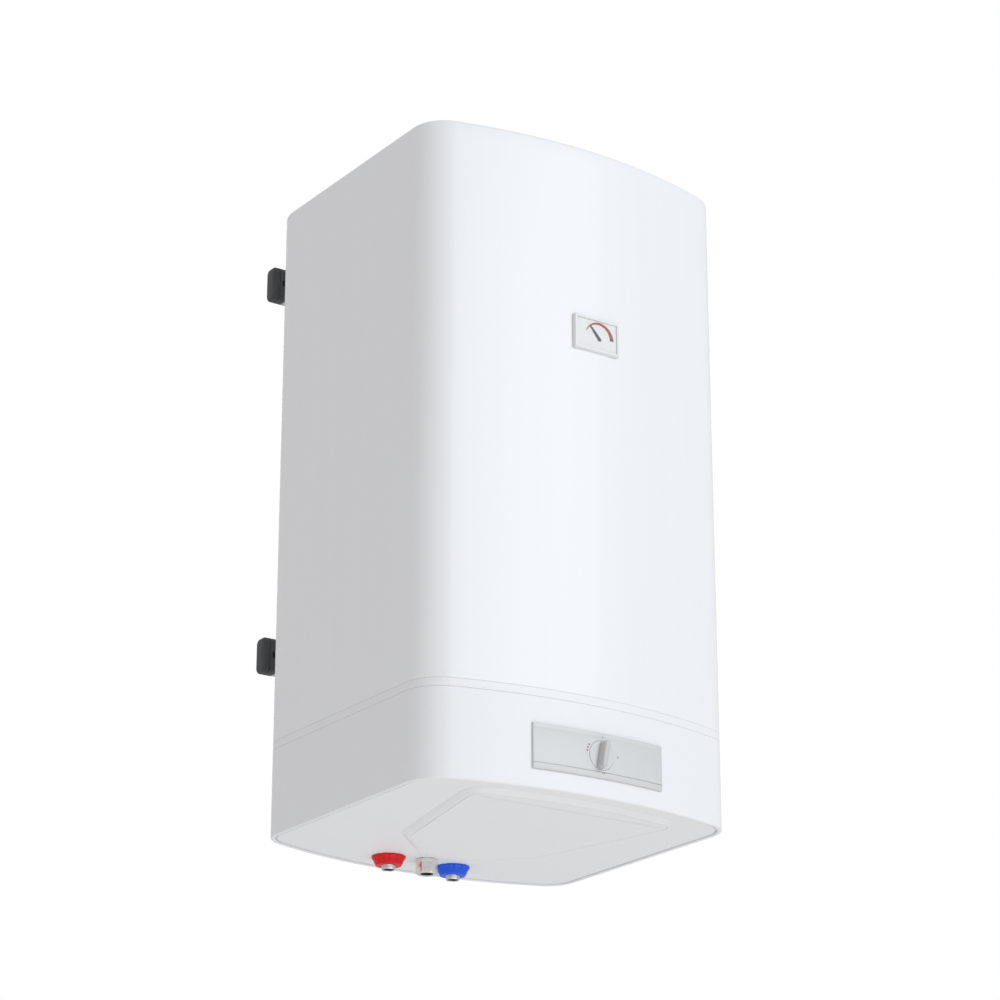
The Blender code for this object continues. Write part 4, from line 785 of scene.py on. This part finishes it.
def make_rails():
    """Two box-section rails, each with slots for the wall's screws, stud holes and end caps."""
    for level in ("upper", "lower"):
        low, high = local_box(level + "_rail")
        _, y, z = middle_of(level + "_rail")
        deep, tall = high.y - low.y, high.z - low.z
        hollow = round_rectangle(deep - 2 * RAIL_WALL, tall - 2 * RAIL_WALL, 0.001, 8)
        outer = [(a + y, b + z) for a, b in round_rectangle(deep, tall, RAIL_ROUND, 8)]
        inner = [(a + y, b + z) for a, b in hollow]
        bm = loft([at_side(outer, low.x), at_side(outer, high.x), at_side(inner, high.x),
                   at_side(inner, low.x)], ring=True)
        cutters = []
        for side in (-1, 1):
            slot_x = side * (high.x - SLOT_END)
            shape = [(a + slot_x, b + z)
                     for a, b in round_rectangle(SLOT_WIDTH, SLOT_TALL, SLOT_ROUND, 12)]
            slot = loft([at_depth(shape, y - 0.03), at_depth(shape, y + 0.03)])
            stud_x = slot_x - side * SLOT_TO_STUD
            cutters += [slot, rod_cutter(ACCESS_RADIUS, (stud_x, y, z), (stud_x, y + 0.03, z), 64),
                        rod_cutter(STUD_HOLE, (stud_x, y - 0.03, z), (stud_x, y, z))]
        piece("wall_rail_" + level, bm, "galvanised_steel", [level + "_rail"], cutters=cutters)
        for side, word in ((-1, "left"), (1, "right")):
            make_cap(level + "_cap_" + word, side)


def make_cap(name, side):
    """A moulded end cap: soft-edged head with a shallow groove round it, and a plug in the rail."""
    low, high = local_box(name)
    _, y, z = middle_of(name)
    rail = name.split("_")[0] + "_rail"
    rail_low, rail_high = local_box(rail)
    rail_y = middle_of(rail)[1]
    deep, tall = high.y - low.y, high.z - low.z
    near, far = rail_high.x + GAP, max(abs(low.x), high.x)
    inside = min(abs(low.x), abs(high.x))
    loops = []
    soft = [(0.0060, 0.0), (0.0042, 0.0004), (0.0026, 0.0010), (0.0014, 0.0019), (0.0006, 0.0030),
            (0.0001, 0.0044)]
    for shrink, back in soft:
        loops.append((deep - 2 * shrink, tall - 2 * shrink, CAP_ROUND - shrink * 0.6, far - back, y))
    for back, shrink in ((0.0092, 0.0), (0.0095, 0.0007), (0.0104, 0.0007), (0.0107, 0.0)):
        loops.append((deep - 2 * shrink, tall - 2 * shrink, CAP_ROUND, far - back, y))
    loops.append((deep, tall, CAP_ROUND, near + 0.0006, y))
    loops.append((deep - 0.0012, tall - 0.0012, CAP_ROUND - 0.0004, near, y))
    slack = 2 * (RAIL_WALL + GAP)
    plug = (rail_high.y - rail_low.y - slack, rail_high.z - rail_low.z - slack)
    loops.append((*plug, 0.001, near, rail_y))
    loops.append((*plug, 0.001, inside + 0.001, rail_y))
    loops.append((plug[0] - 0.002, plug[1] - 0.002, 0.001, inside, rail_y))
    made = []
    for width, height, radius, x, middle in loops:
        outline = [(a + middle, b + z) for a, b in round_rectangle(width, height, radius, 8)]
        made.append(at_side(outline, side * x))
    bm = loft(made)
    window = near + 0.0065
    notch = box_cutter((side * window - 0.002, low.y - 0.002, z - 0.0045),
                       (side * window + 0.002, low.y + 0.0035, z + 0.0045))
    piece("end_cap_" + name.replace("_cap", ""), bm, "dark_plastic", [name], cutters=[notch])


def make_studs():
    """The studs that hang the casing on the rails, each with its nut."""
    for number, (x, z) in enumerate(stud_places(), 1):
        make_stud(number, x, z)
        make_nut(number, x, z)


def make_stud(number, x, z):
    """A stud with a collar that the rail rests on, threaded beyond it."""
    name = "hanger_stud_%d" % number
    low, high = local_box(name)
    start, end = BACK + 0.001, local_box("upper_rail")[0].y - GAP
    profile = [(STUD_RADIUS, low.y), (STUD_RADIUS, start), (STUD_COLLAR - 0.0005, start),
               (STUD_COLLAR, start + 0.0005), (STUD_COLLAR, end - 0.0005),
               (STUD_COLLAR - 0.0005, end), (STUD_RADIUS, end)]
    profile += [(STUD_RADIUS, y) for y in steps_between(end + 0.001, high.y - 0.0008, 90)]
    profile += [(STUD_RADIUS - 0.0008, high.y)]
    cut_thread = thread(0.0006, STUD_PITCH, end + 0.001, high.y, STUD_RADIUS - 0.0001)
    bm = turned(profile, 48, shape=cut_thread, ring=False)
    lay_back(bm, (x, 0, z))
    piece("stud_%d" % number, bm, "zinc_steel", [name], sharp=50)


def make_nut(number, x, z):
    """A hexagonal nut with its corners turned off at both faces."""
    name = "hanger_nut_%d" % number
    low, high = local_box(name)
    half, reach = NUT_FLATS / 2, hexagon(NUT_FLATS)

    def shape(size, y, angle):
        if size < 0.007:
            return size
        return min(reach(angle), half + min(y - low.y, high.y - y) * 1.7)

    outer = [(half, low.y + step) for step in (0, 0.0003, 0.0007, 0.0012)]
    outer += [(half, high.y - step) for step in (0.0012, 0.0007, 0.0003, 0)]
    inner = [(NUT_BORE + 0.0005, high.y), (NUT_BORE, high.y - 0.0006), (NUT_BORE, low.y + 0.0006),
             (NUT_BORE + 0.0005, low.y)]
    bm = turned(outer + inner, 72, shape=shape)
    lay_back(bm, (x, 0, z))
    piece("nut_%d" % number, bm, "zinc_steel", [name], sharp=28)


def make_grommet():
    """A rubber ring in the casing's back, where a cable would come in."""
    low, high = local_box("cable_grommet")
    z = middle_of("cable_grommet")[2]
    flange, neck, bore = (high.x - low.x) / 2, 0.008, 0.0045
    inside, outside = low.y, high.y
    profile = [(bore, outside), (bore, inside), (flange, inside), (flange, inside + 0.002),
               (neck, inside + 0.002), (neck, outside - 0.002), (flange, outside - 0.002),
               (flange, outside)]
    radii = [0.0012, 0.0008, 0.0008, 0.0008, 0.0002, 0.0002, 0.0008, 0.0012]
    bm = turned(rounded(profile, radii, 5), 64)
    lay_back(bm, (0, 0, z))
    piece("grommet", bm, "rubber", ["cable_grommet"])


# ---- thermometer ----

def make_gauge():
    """The thermometer: frame, dial, printed scale, needle and clear window."""
    low, high = local_box("gauge_bezel")
    dial_low, dial_high = local_box("gauge_dial")
    middle = middle_of("gauge_bezel")[2]
    face, dial_face = low.y, low.y + DIAL_BEHIND
    joint = next(j for j in frame["joints"] if j["child"] == "needle")
    pivot = Vector(joint["pos_m"]) - HOME
    hole = (dial_high.x - dial_low.x + 2 * GAP, dial_high.z - dial_low.z + 2 * GAP)
    plan = round_rectangle(hole[0] - 2 * GAP, hole[1] - 2 * GAP, 0.0004, 3)
    plan = [(x, z + middle) for x, z in plan]

    make_gauge_frame(high.x - low.x, high.z - low.z, hole, middle, face)

    bm = loft([at_depth(plan, dial_high.y), at_depth(plan, dial_face)])
    axle_hole = rod_cutter(0.0011, (pivot.x, dial_low.y - 0.01, pivot.z),
                           (pivot.x, dial_high.y + 0.01, pivot.z), 32)
    piece("thermometer_dial", bm, "dial_white", ["gauge_dial"], cutters=[axle_hole])

    scale_part("scale_cool", SCALE_RED, (-68, 20), (0.0013, 0.0046), pivot, dial_face, 44)
    scale_part("scale_warm", SCALE_RED, (20, 78), (0.0046, 0.0066), pivot, dial_face, 30)
    scale_part("scale_hot", SCALE_DARK, (78, 87), (0.0066, 0.0068), pivot, dial_face, 8)

    make_needle(pivot, dial_face)

    small = [(x * 0.994, (z - middle) * 0.992 + middle) for x, z in plan]
    bm = loft([at_depth(plan, face + 0.0010), at_depth(plan, face + 0.0005),
               at_depth(small, face + 0.0003)])
    piece("thermometer_window", bm, "clear_plastic", ["gauge_lens"])


def make_gauge_frame(width, tall, hole, middle, face):
    """A soft-edged frame whose rear follows the casing's front."""
    def loop(w, h, radius, y):
        outline = round_rectangle(w, h, radius, 8)
        return [(x, front_y(x, GAP) if y is None else y, z + middle) for x, z in outline]

    hole_w, hole_t = hole
    loops = [loop(width, tall, 0.0025, None), loop(width, tall, 0.0025, face + 0.0022),
             loop(width - 0.0003, tall - 0.0003, 0.0024, face + 0.0018),
             loop(width - 0.0032, tall - 0.0032, 0.0016, face + 0.0002),
             loop(width - 0.0040, tall - 0.0040, 0.0013, face),
             loop(hole_w + 0.0010, hole_t + 0.0010, 0.0009, face),
             loop(hole_w + 0.0003, hole_t + 0.0003, 0.0006, face + 0.0002),
             loop(hole_w, hole_t, 0.0004, face + 0.0006), loop(hole_w, hole_t, 0.0004, None)]
    bm = loft(loops, ring=True)
    piece("thermometer_frame", bm, "silver_plastic", ["gauge_bezel"], look=BEZEL_SILVER, sharp=30)


def scale_part(name, look, angles, widths, pivot, dial_face, steps):
    """A tapering printed band, measured in degrees to the right of upright."""
    outer, inner = [], []
    (start, end), (thin, thick) = angles, widths
    for angle in steps_between(start, end, steps):
        turn = math.radians(angle)
        width_here = thin + (thick - thin) * (angle - start) / (end - start)
        for edge, points in ((SCALE_RADIUS, outer), (SCALE_RADIUS - width_here, inner)):
            points.append((pivot.x + edge * math.sin(turn),
                           pivot.z + SCALE_RISE + edge * math.cos(turn)))
    shape = outer + inner[::-1]
    bm = loft([at_depth(shape, dial_face - 0.00002), at_depth(shape, dial_face - 0.00008)])
    piece(name, bm, "red_plastic", look=look)


def make_needle(pivot, dial_face):
    """A tapering pointer with a round hub, on an axle through the dial."""
    base, front = dial_face - 0.0003, dial_face - 0.0007
    lean = math.radians(NEEDLE_LEAN)
    side = [(0.0027, 0.0), (0.0026, 0.004), (0.0020, 0.014), (0.0012, 0.0235),
            (0.0007, NEEDLE_LENGTH)]
    tail = [(-0.0027 * math.cos(a), -0.0022 * math.sin(a)) for a in steps_between(0, math.pi, 14)]
    shape = side + [(-x, z) for x, z in side[::-1]] + tail[1:-1]
    leaning = [(pivot.x + x * math.cos(lean) - z * math.sin(lean),
                pivot.z + x * math.sin(lean) + z * math.cos(lean)) for x, z in shape]
    bm = loft([at_depth(leaning, base), at_depth(leaning, front)])
    piece("thermometer_needle", bm, "needle_black", ["gauge_needle"], body="needle")

    hub = [(0.0026, 0.0), (0.0026, 0.0004), (0.0001, 0.0005)]
    bm = turned(rounded(hub, 0.0002, 4, closed=False), 32, ring=False)
    lay_forward(bm, (pivot.x, front + 0.0002, pivot.z))
    piece("needle_hub", bm, "needle_black", body="needle")

    bm = turned([(0.0008, 0.0), (0.0008, 0.0070)], 24, ring=False)
    lay_back(bm, (pivot.x, base - 0.0001, pivot.z))
    piece("needle_axle", bm, "needle_black", body="needle")


# ---- control panel ----

def make_fascia():
    """A curved plate along the casing's front, with two fine grooves and a round hole."""
    low, high = local_box("control_fascia")
    half, middle, tall = high.x, middle_of("control_fascia")[2], (high.z - low.z) / 2
    line, depth, width = tall - GROOVE_IN, 0.00016, 0.0005

    def section(shrink):
        """The plate's cross-section as (outward, height) points; the lower groove is shallower."""
        top = tall - shrink
        out = FASCIA_THICK - shrink
        points = [(0, -top), (0, top), (out - 0.0007, top), (out - 0.0002, top - 0.0003),
                  (out, top - 0.0009)]
        for side in (1, -1):
            z = side * line
            rim = side * width
            cut = depth if side > 0 else depth * 0.4
            points += [(out, z + rim), (out - cut, z + rim * 0.25), (out - cut, z - rim * 0.25),
                       (out, z - rim)]
        points += [(out, -top + 0.0009), (out - 0.0002, -top + 0.0003), (out - 0.0007, -top)]
        return points

    stations = [(-half, 0.0007), (-half + 0.0003, 0.0002), (-half + 0.0009, 0.0)]
    stations += [(x, 0.0) for x in steps_between(-half + 0.004, half - 0.004, 60)]
    stations += [(half - 0.0009, 0.0), (half - 0.0003, 0.0002), (half, 0.0007)]
    bm = loft([[(x, front_y(x, GAP + out), middle + z) for out, z in section(shrink)]
               for x, shrink in stations])
    knob_low, knob_high = local_box("knob_disc")
    radius = (knob_high.x - knob_low.x) / 2 + 0.0004
    hole = rod_cutter(radius, (0, FRONT - 0.03, middle), (0, FRONT + 0.03, middle), 128)
    piece("control_panel", bm, "silver_plastic", ["control_fascia"], cutters=[hole], sharp=30)


def make_marks():
    """Small round marks printed round the knob."""
    middle = middle_of("control_fascia")[2]
    marks = [(171, 0.0245, 0.00125, SCALE_RED), (160, 0.0245, 0.00125, SCALE_RED),
             (149, 0.0245, 0.00125, SCALE_RED), (87, 0.0262, 0.0008, PRINT_GREY),
             (3, 0.0275, 0.0012, PRINT_GREY), (-87, 0.0245, 0.0011, PRINT_GREY),
             (-80, 0.0248, 0.0011, PRINT_GREY)]
    for number, (angle, reach, radius, look) in enumerate(marks, 1):
        x = reach * math.cos(math.radians(angle))
        z = middle + reach * math.sin(math.radians(angle))
        bm = turned([(radius, 0.00001), (radius, 0.00004), (radius * 0.9, 0.00006)], 28, ring=False)
        lay_forward(bm, (x, front_y(x, GAP + FASCIA_THICK), z))
        piece("mark_%d" % number, bm, "silver_plastic", look=look)


def make_knob():
    """The thermostat's knob: a flat disc with a hub behind it, and a tapered grip across it."""
    disc_low, disc_high = local_box("knob_disc")
    middle = middle_of("knob_disc")[2]
    radius, face = (disc_high.x - disc_low.x) / 2, disc_low.y
    back = disc_high.y - face
    profile = [(0.0001, 0.0), (radius, 0.0), (radius, -DISC_THICK), (HUB_RADIUS, -DISC_THICK),
               (HUB_RADIUS, -back), (SHAFT_RADIUS, -back), (SHAFT_RADIUS, -DISC_THICK),
               (0.0001, -DISC_THICK + 0.0001)]
    radii = [0, 0.0005, 0.0003, 0.0004, 0.0004, 0.0002, 0.0002, 0]
    bm = turned(rounded(profile, radii, 5, closed=False), 128, ring=False)
    lay_forward(bm, (0, face, middle))
    piece("knob_plate", bm, "silver_plastic", ["knob_disc"], body="knob", sharp=30)

    tall = face - local_box("knob_grip")[0].y
    length = 2 * (radius - 0.00075)
    rounding = [(0.0006, GAP), (0.0002, 0.0005), (0.0, 0.0009), (0.0, 0.004), (0.0, tall - 0.0030),
                (0.0002, tall - 0.0018), (0.0006, tall - 0.0009), (0.0012, tall - 0.0003),
                (0.0020, tall)]
    loops = []
    for shrink, z in rounding:
        width = GRIP_FOOT + (GRIP_CREST - GRIP_FOOT) * z / tall - 2 * shrink
        corner = min(0.0042, width / 2 - 0.0001)
        loops.append(at_height(round_rectangle(width, length - 2 * shrink, corner, 14), z))
    bm = loft(loops)
    lean = Matrix.Rotation(math.radians(GRIP_LEAN), 4, "Y")
    set_at(bm, (0, face, middle), lean @ Matrix.Rotation(math.pi / 2, 4, "X"))
    # the grip takes the darker silver: painted shade
    piece("knob_handle", bm, "silver_plastic", ["knob_grip"], body="knob", look=GRIP_SHADED_SILVER, sharp=45)


# ---- stage ----

def fade_out(look, near, far):
    """Lets a floor's finish fade into the studio's white between two distances from its middle."""
    tree = look.node_tree
    link = tree.links.new
    place = node(tree, "ShaderNodeTexCoord")
    flat = node(tree, "ShaderNodeVectorMath", operation="MULTIPLY")
    flat.inputs[1].default_value = (1, 1, 0)
    away = node(tree, "ShaderNodeVectorMath", operation="LENGTH")
    fade = node(tree, "ShaderNodeMapRange", interpolation_type="SMOOTHSTEP")
    fade.inputs["From Min"].default_value = near
    fade.inputs["From Max"].default_value = far
    fade.inputs["To Min"].default_value = 1.0
    fade.inputs["To Max"].default_value = 0.0
    link(place.outputs["Object"], flat.inputs[0])
    link(flat.outputs["Vector"], away.inputs[0])
    link(away.outputs["Value"], fade.inputs["Value"])
    link(fade.outputs["Result"], tree.nodes["Principled BSDF"].inputs["Alpha"])


def make_stage():
    """A pale floor far below the heater, and a world that is white to the camera and dimmer as light."""
    floor = bpy.data.meshes.new("floor")
    size, height = 40.0, -4.7       # half the floor's side, and where it lies
    floor.from_pydata([(-size, -size, height), (size, -size, height), (size, size, height),
                       (-size, size, height)], [], [(0, 1, 2, 3)])
    item = in_scene("floor", floor)
    pale = surface("floor_pale", (0.82, 0.82, 0.82), 0.9, grain=3, mottle=0.01)
    fade_out(pale, 5.0, 30.0)
    floor.materials.append(pale)

    world = bpy.data.worlds.new("studio")
    bpy.context.scene.world = world
    world.use_nodes = True
    tree = world.node_tree
    link = tree.links.new
    tree.nodes.clear()
    out = node(tree, "ShaderNodeOutputWorld")
    seen = node(tree, "ShaderNodeBackground", Color=(1, 1, 1, 1), Strength=1.0)
    light = node(tree, "ShaderNodeBackground", Color=(1.0, 1.0, 1.0, 1), Strength=0.655)
    pick = node(tree, "ShaderNodeMixShader")
    path = node(tree, "ShaderNodeLightPath")
    link(path.outputs["Is Camera Ray"], pick.inputs[0])
    link(light.outputs[0], pick.inputs[1])
    link(seen.outputs[0], pick.inputs[2])
    link(pick.outputs[0], out.inputs["Surface"])


def area_light(name, place, target, size, power, color=(1, 1, 1)):
    """A rectangular lamp turned towards a target, and kept out of the picture itself."""
    lamp = bpy.data.lights.new(name, "AREA")
    lamp.shape = "RECTANGLE"
    lamp.size, lamp.size_y = size
    lamp.energy = power
    lamp.color = color
    item = in_scene(name, lamp)
    item.location = place
    item.rotation_mode = "QUATERNION"
    item.rotation_quaternion = (Vector(target) - Vector(place)).to_track_quat("-Z", "Y")
    item.visible_camera = False


def make_lights():
    target = (0.0, -0.30, -0.42)
    area_light("key", (1.3, -4.7, 0.9), target, (3.0, 3.0), 84, (0.91, 1.0, 1.07))
    area_light("fill", (0.3, -1.4, -3.6), target, (3.0, 3.0), 25)
    area_light("back", (2.6, 3.6, 1.6), target, (2.5, 2.5), 70, (0.97, 0.99, 1.0))


def make_camera():
    """A long lens, low on the heater's left and tilted up at it."""
    camera = bpy.data.cameras.new("camera")
    camera.lens = 111.9
    camera.sensor_width = 36.0
    camera.clip_end = 100.0
    item = in_scene("camera", camera)
    item.location = (-2.4224, -3.8284, -1.9878)
    item.rotation_mode = "QUATERNION"
    item.rotation_quaternion = Vector((0.5303, 0.7727, 0.3489)).to_track_quat("-Z", "Y")
    bpy.context.scene.camera = item


bpy.context.scene.view_settings.view_transform = "Standard"
for make in (make_camera, make_stage, make_lights, make_jacket, make_top_cover, make_band,
             make_skirt, make_underside, make_pipes, make_socket, make_rosettes, make_rails,
             make_studs, make_grommet, make_gauge, make_fascia, make_marks, make_knob):
    make()

bpy.context.view_layer.update()
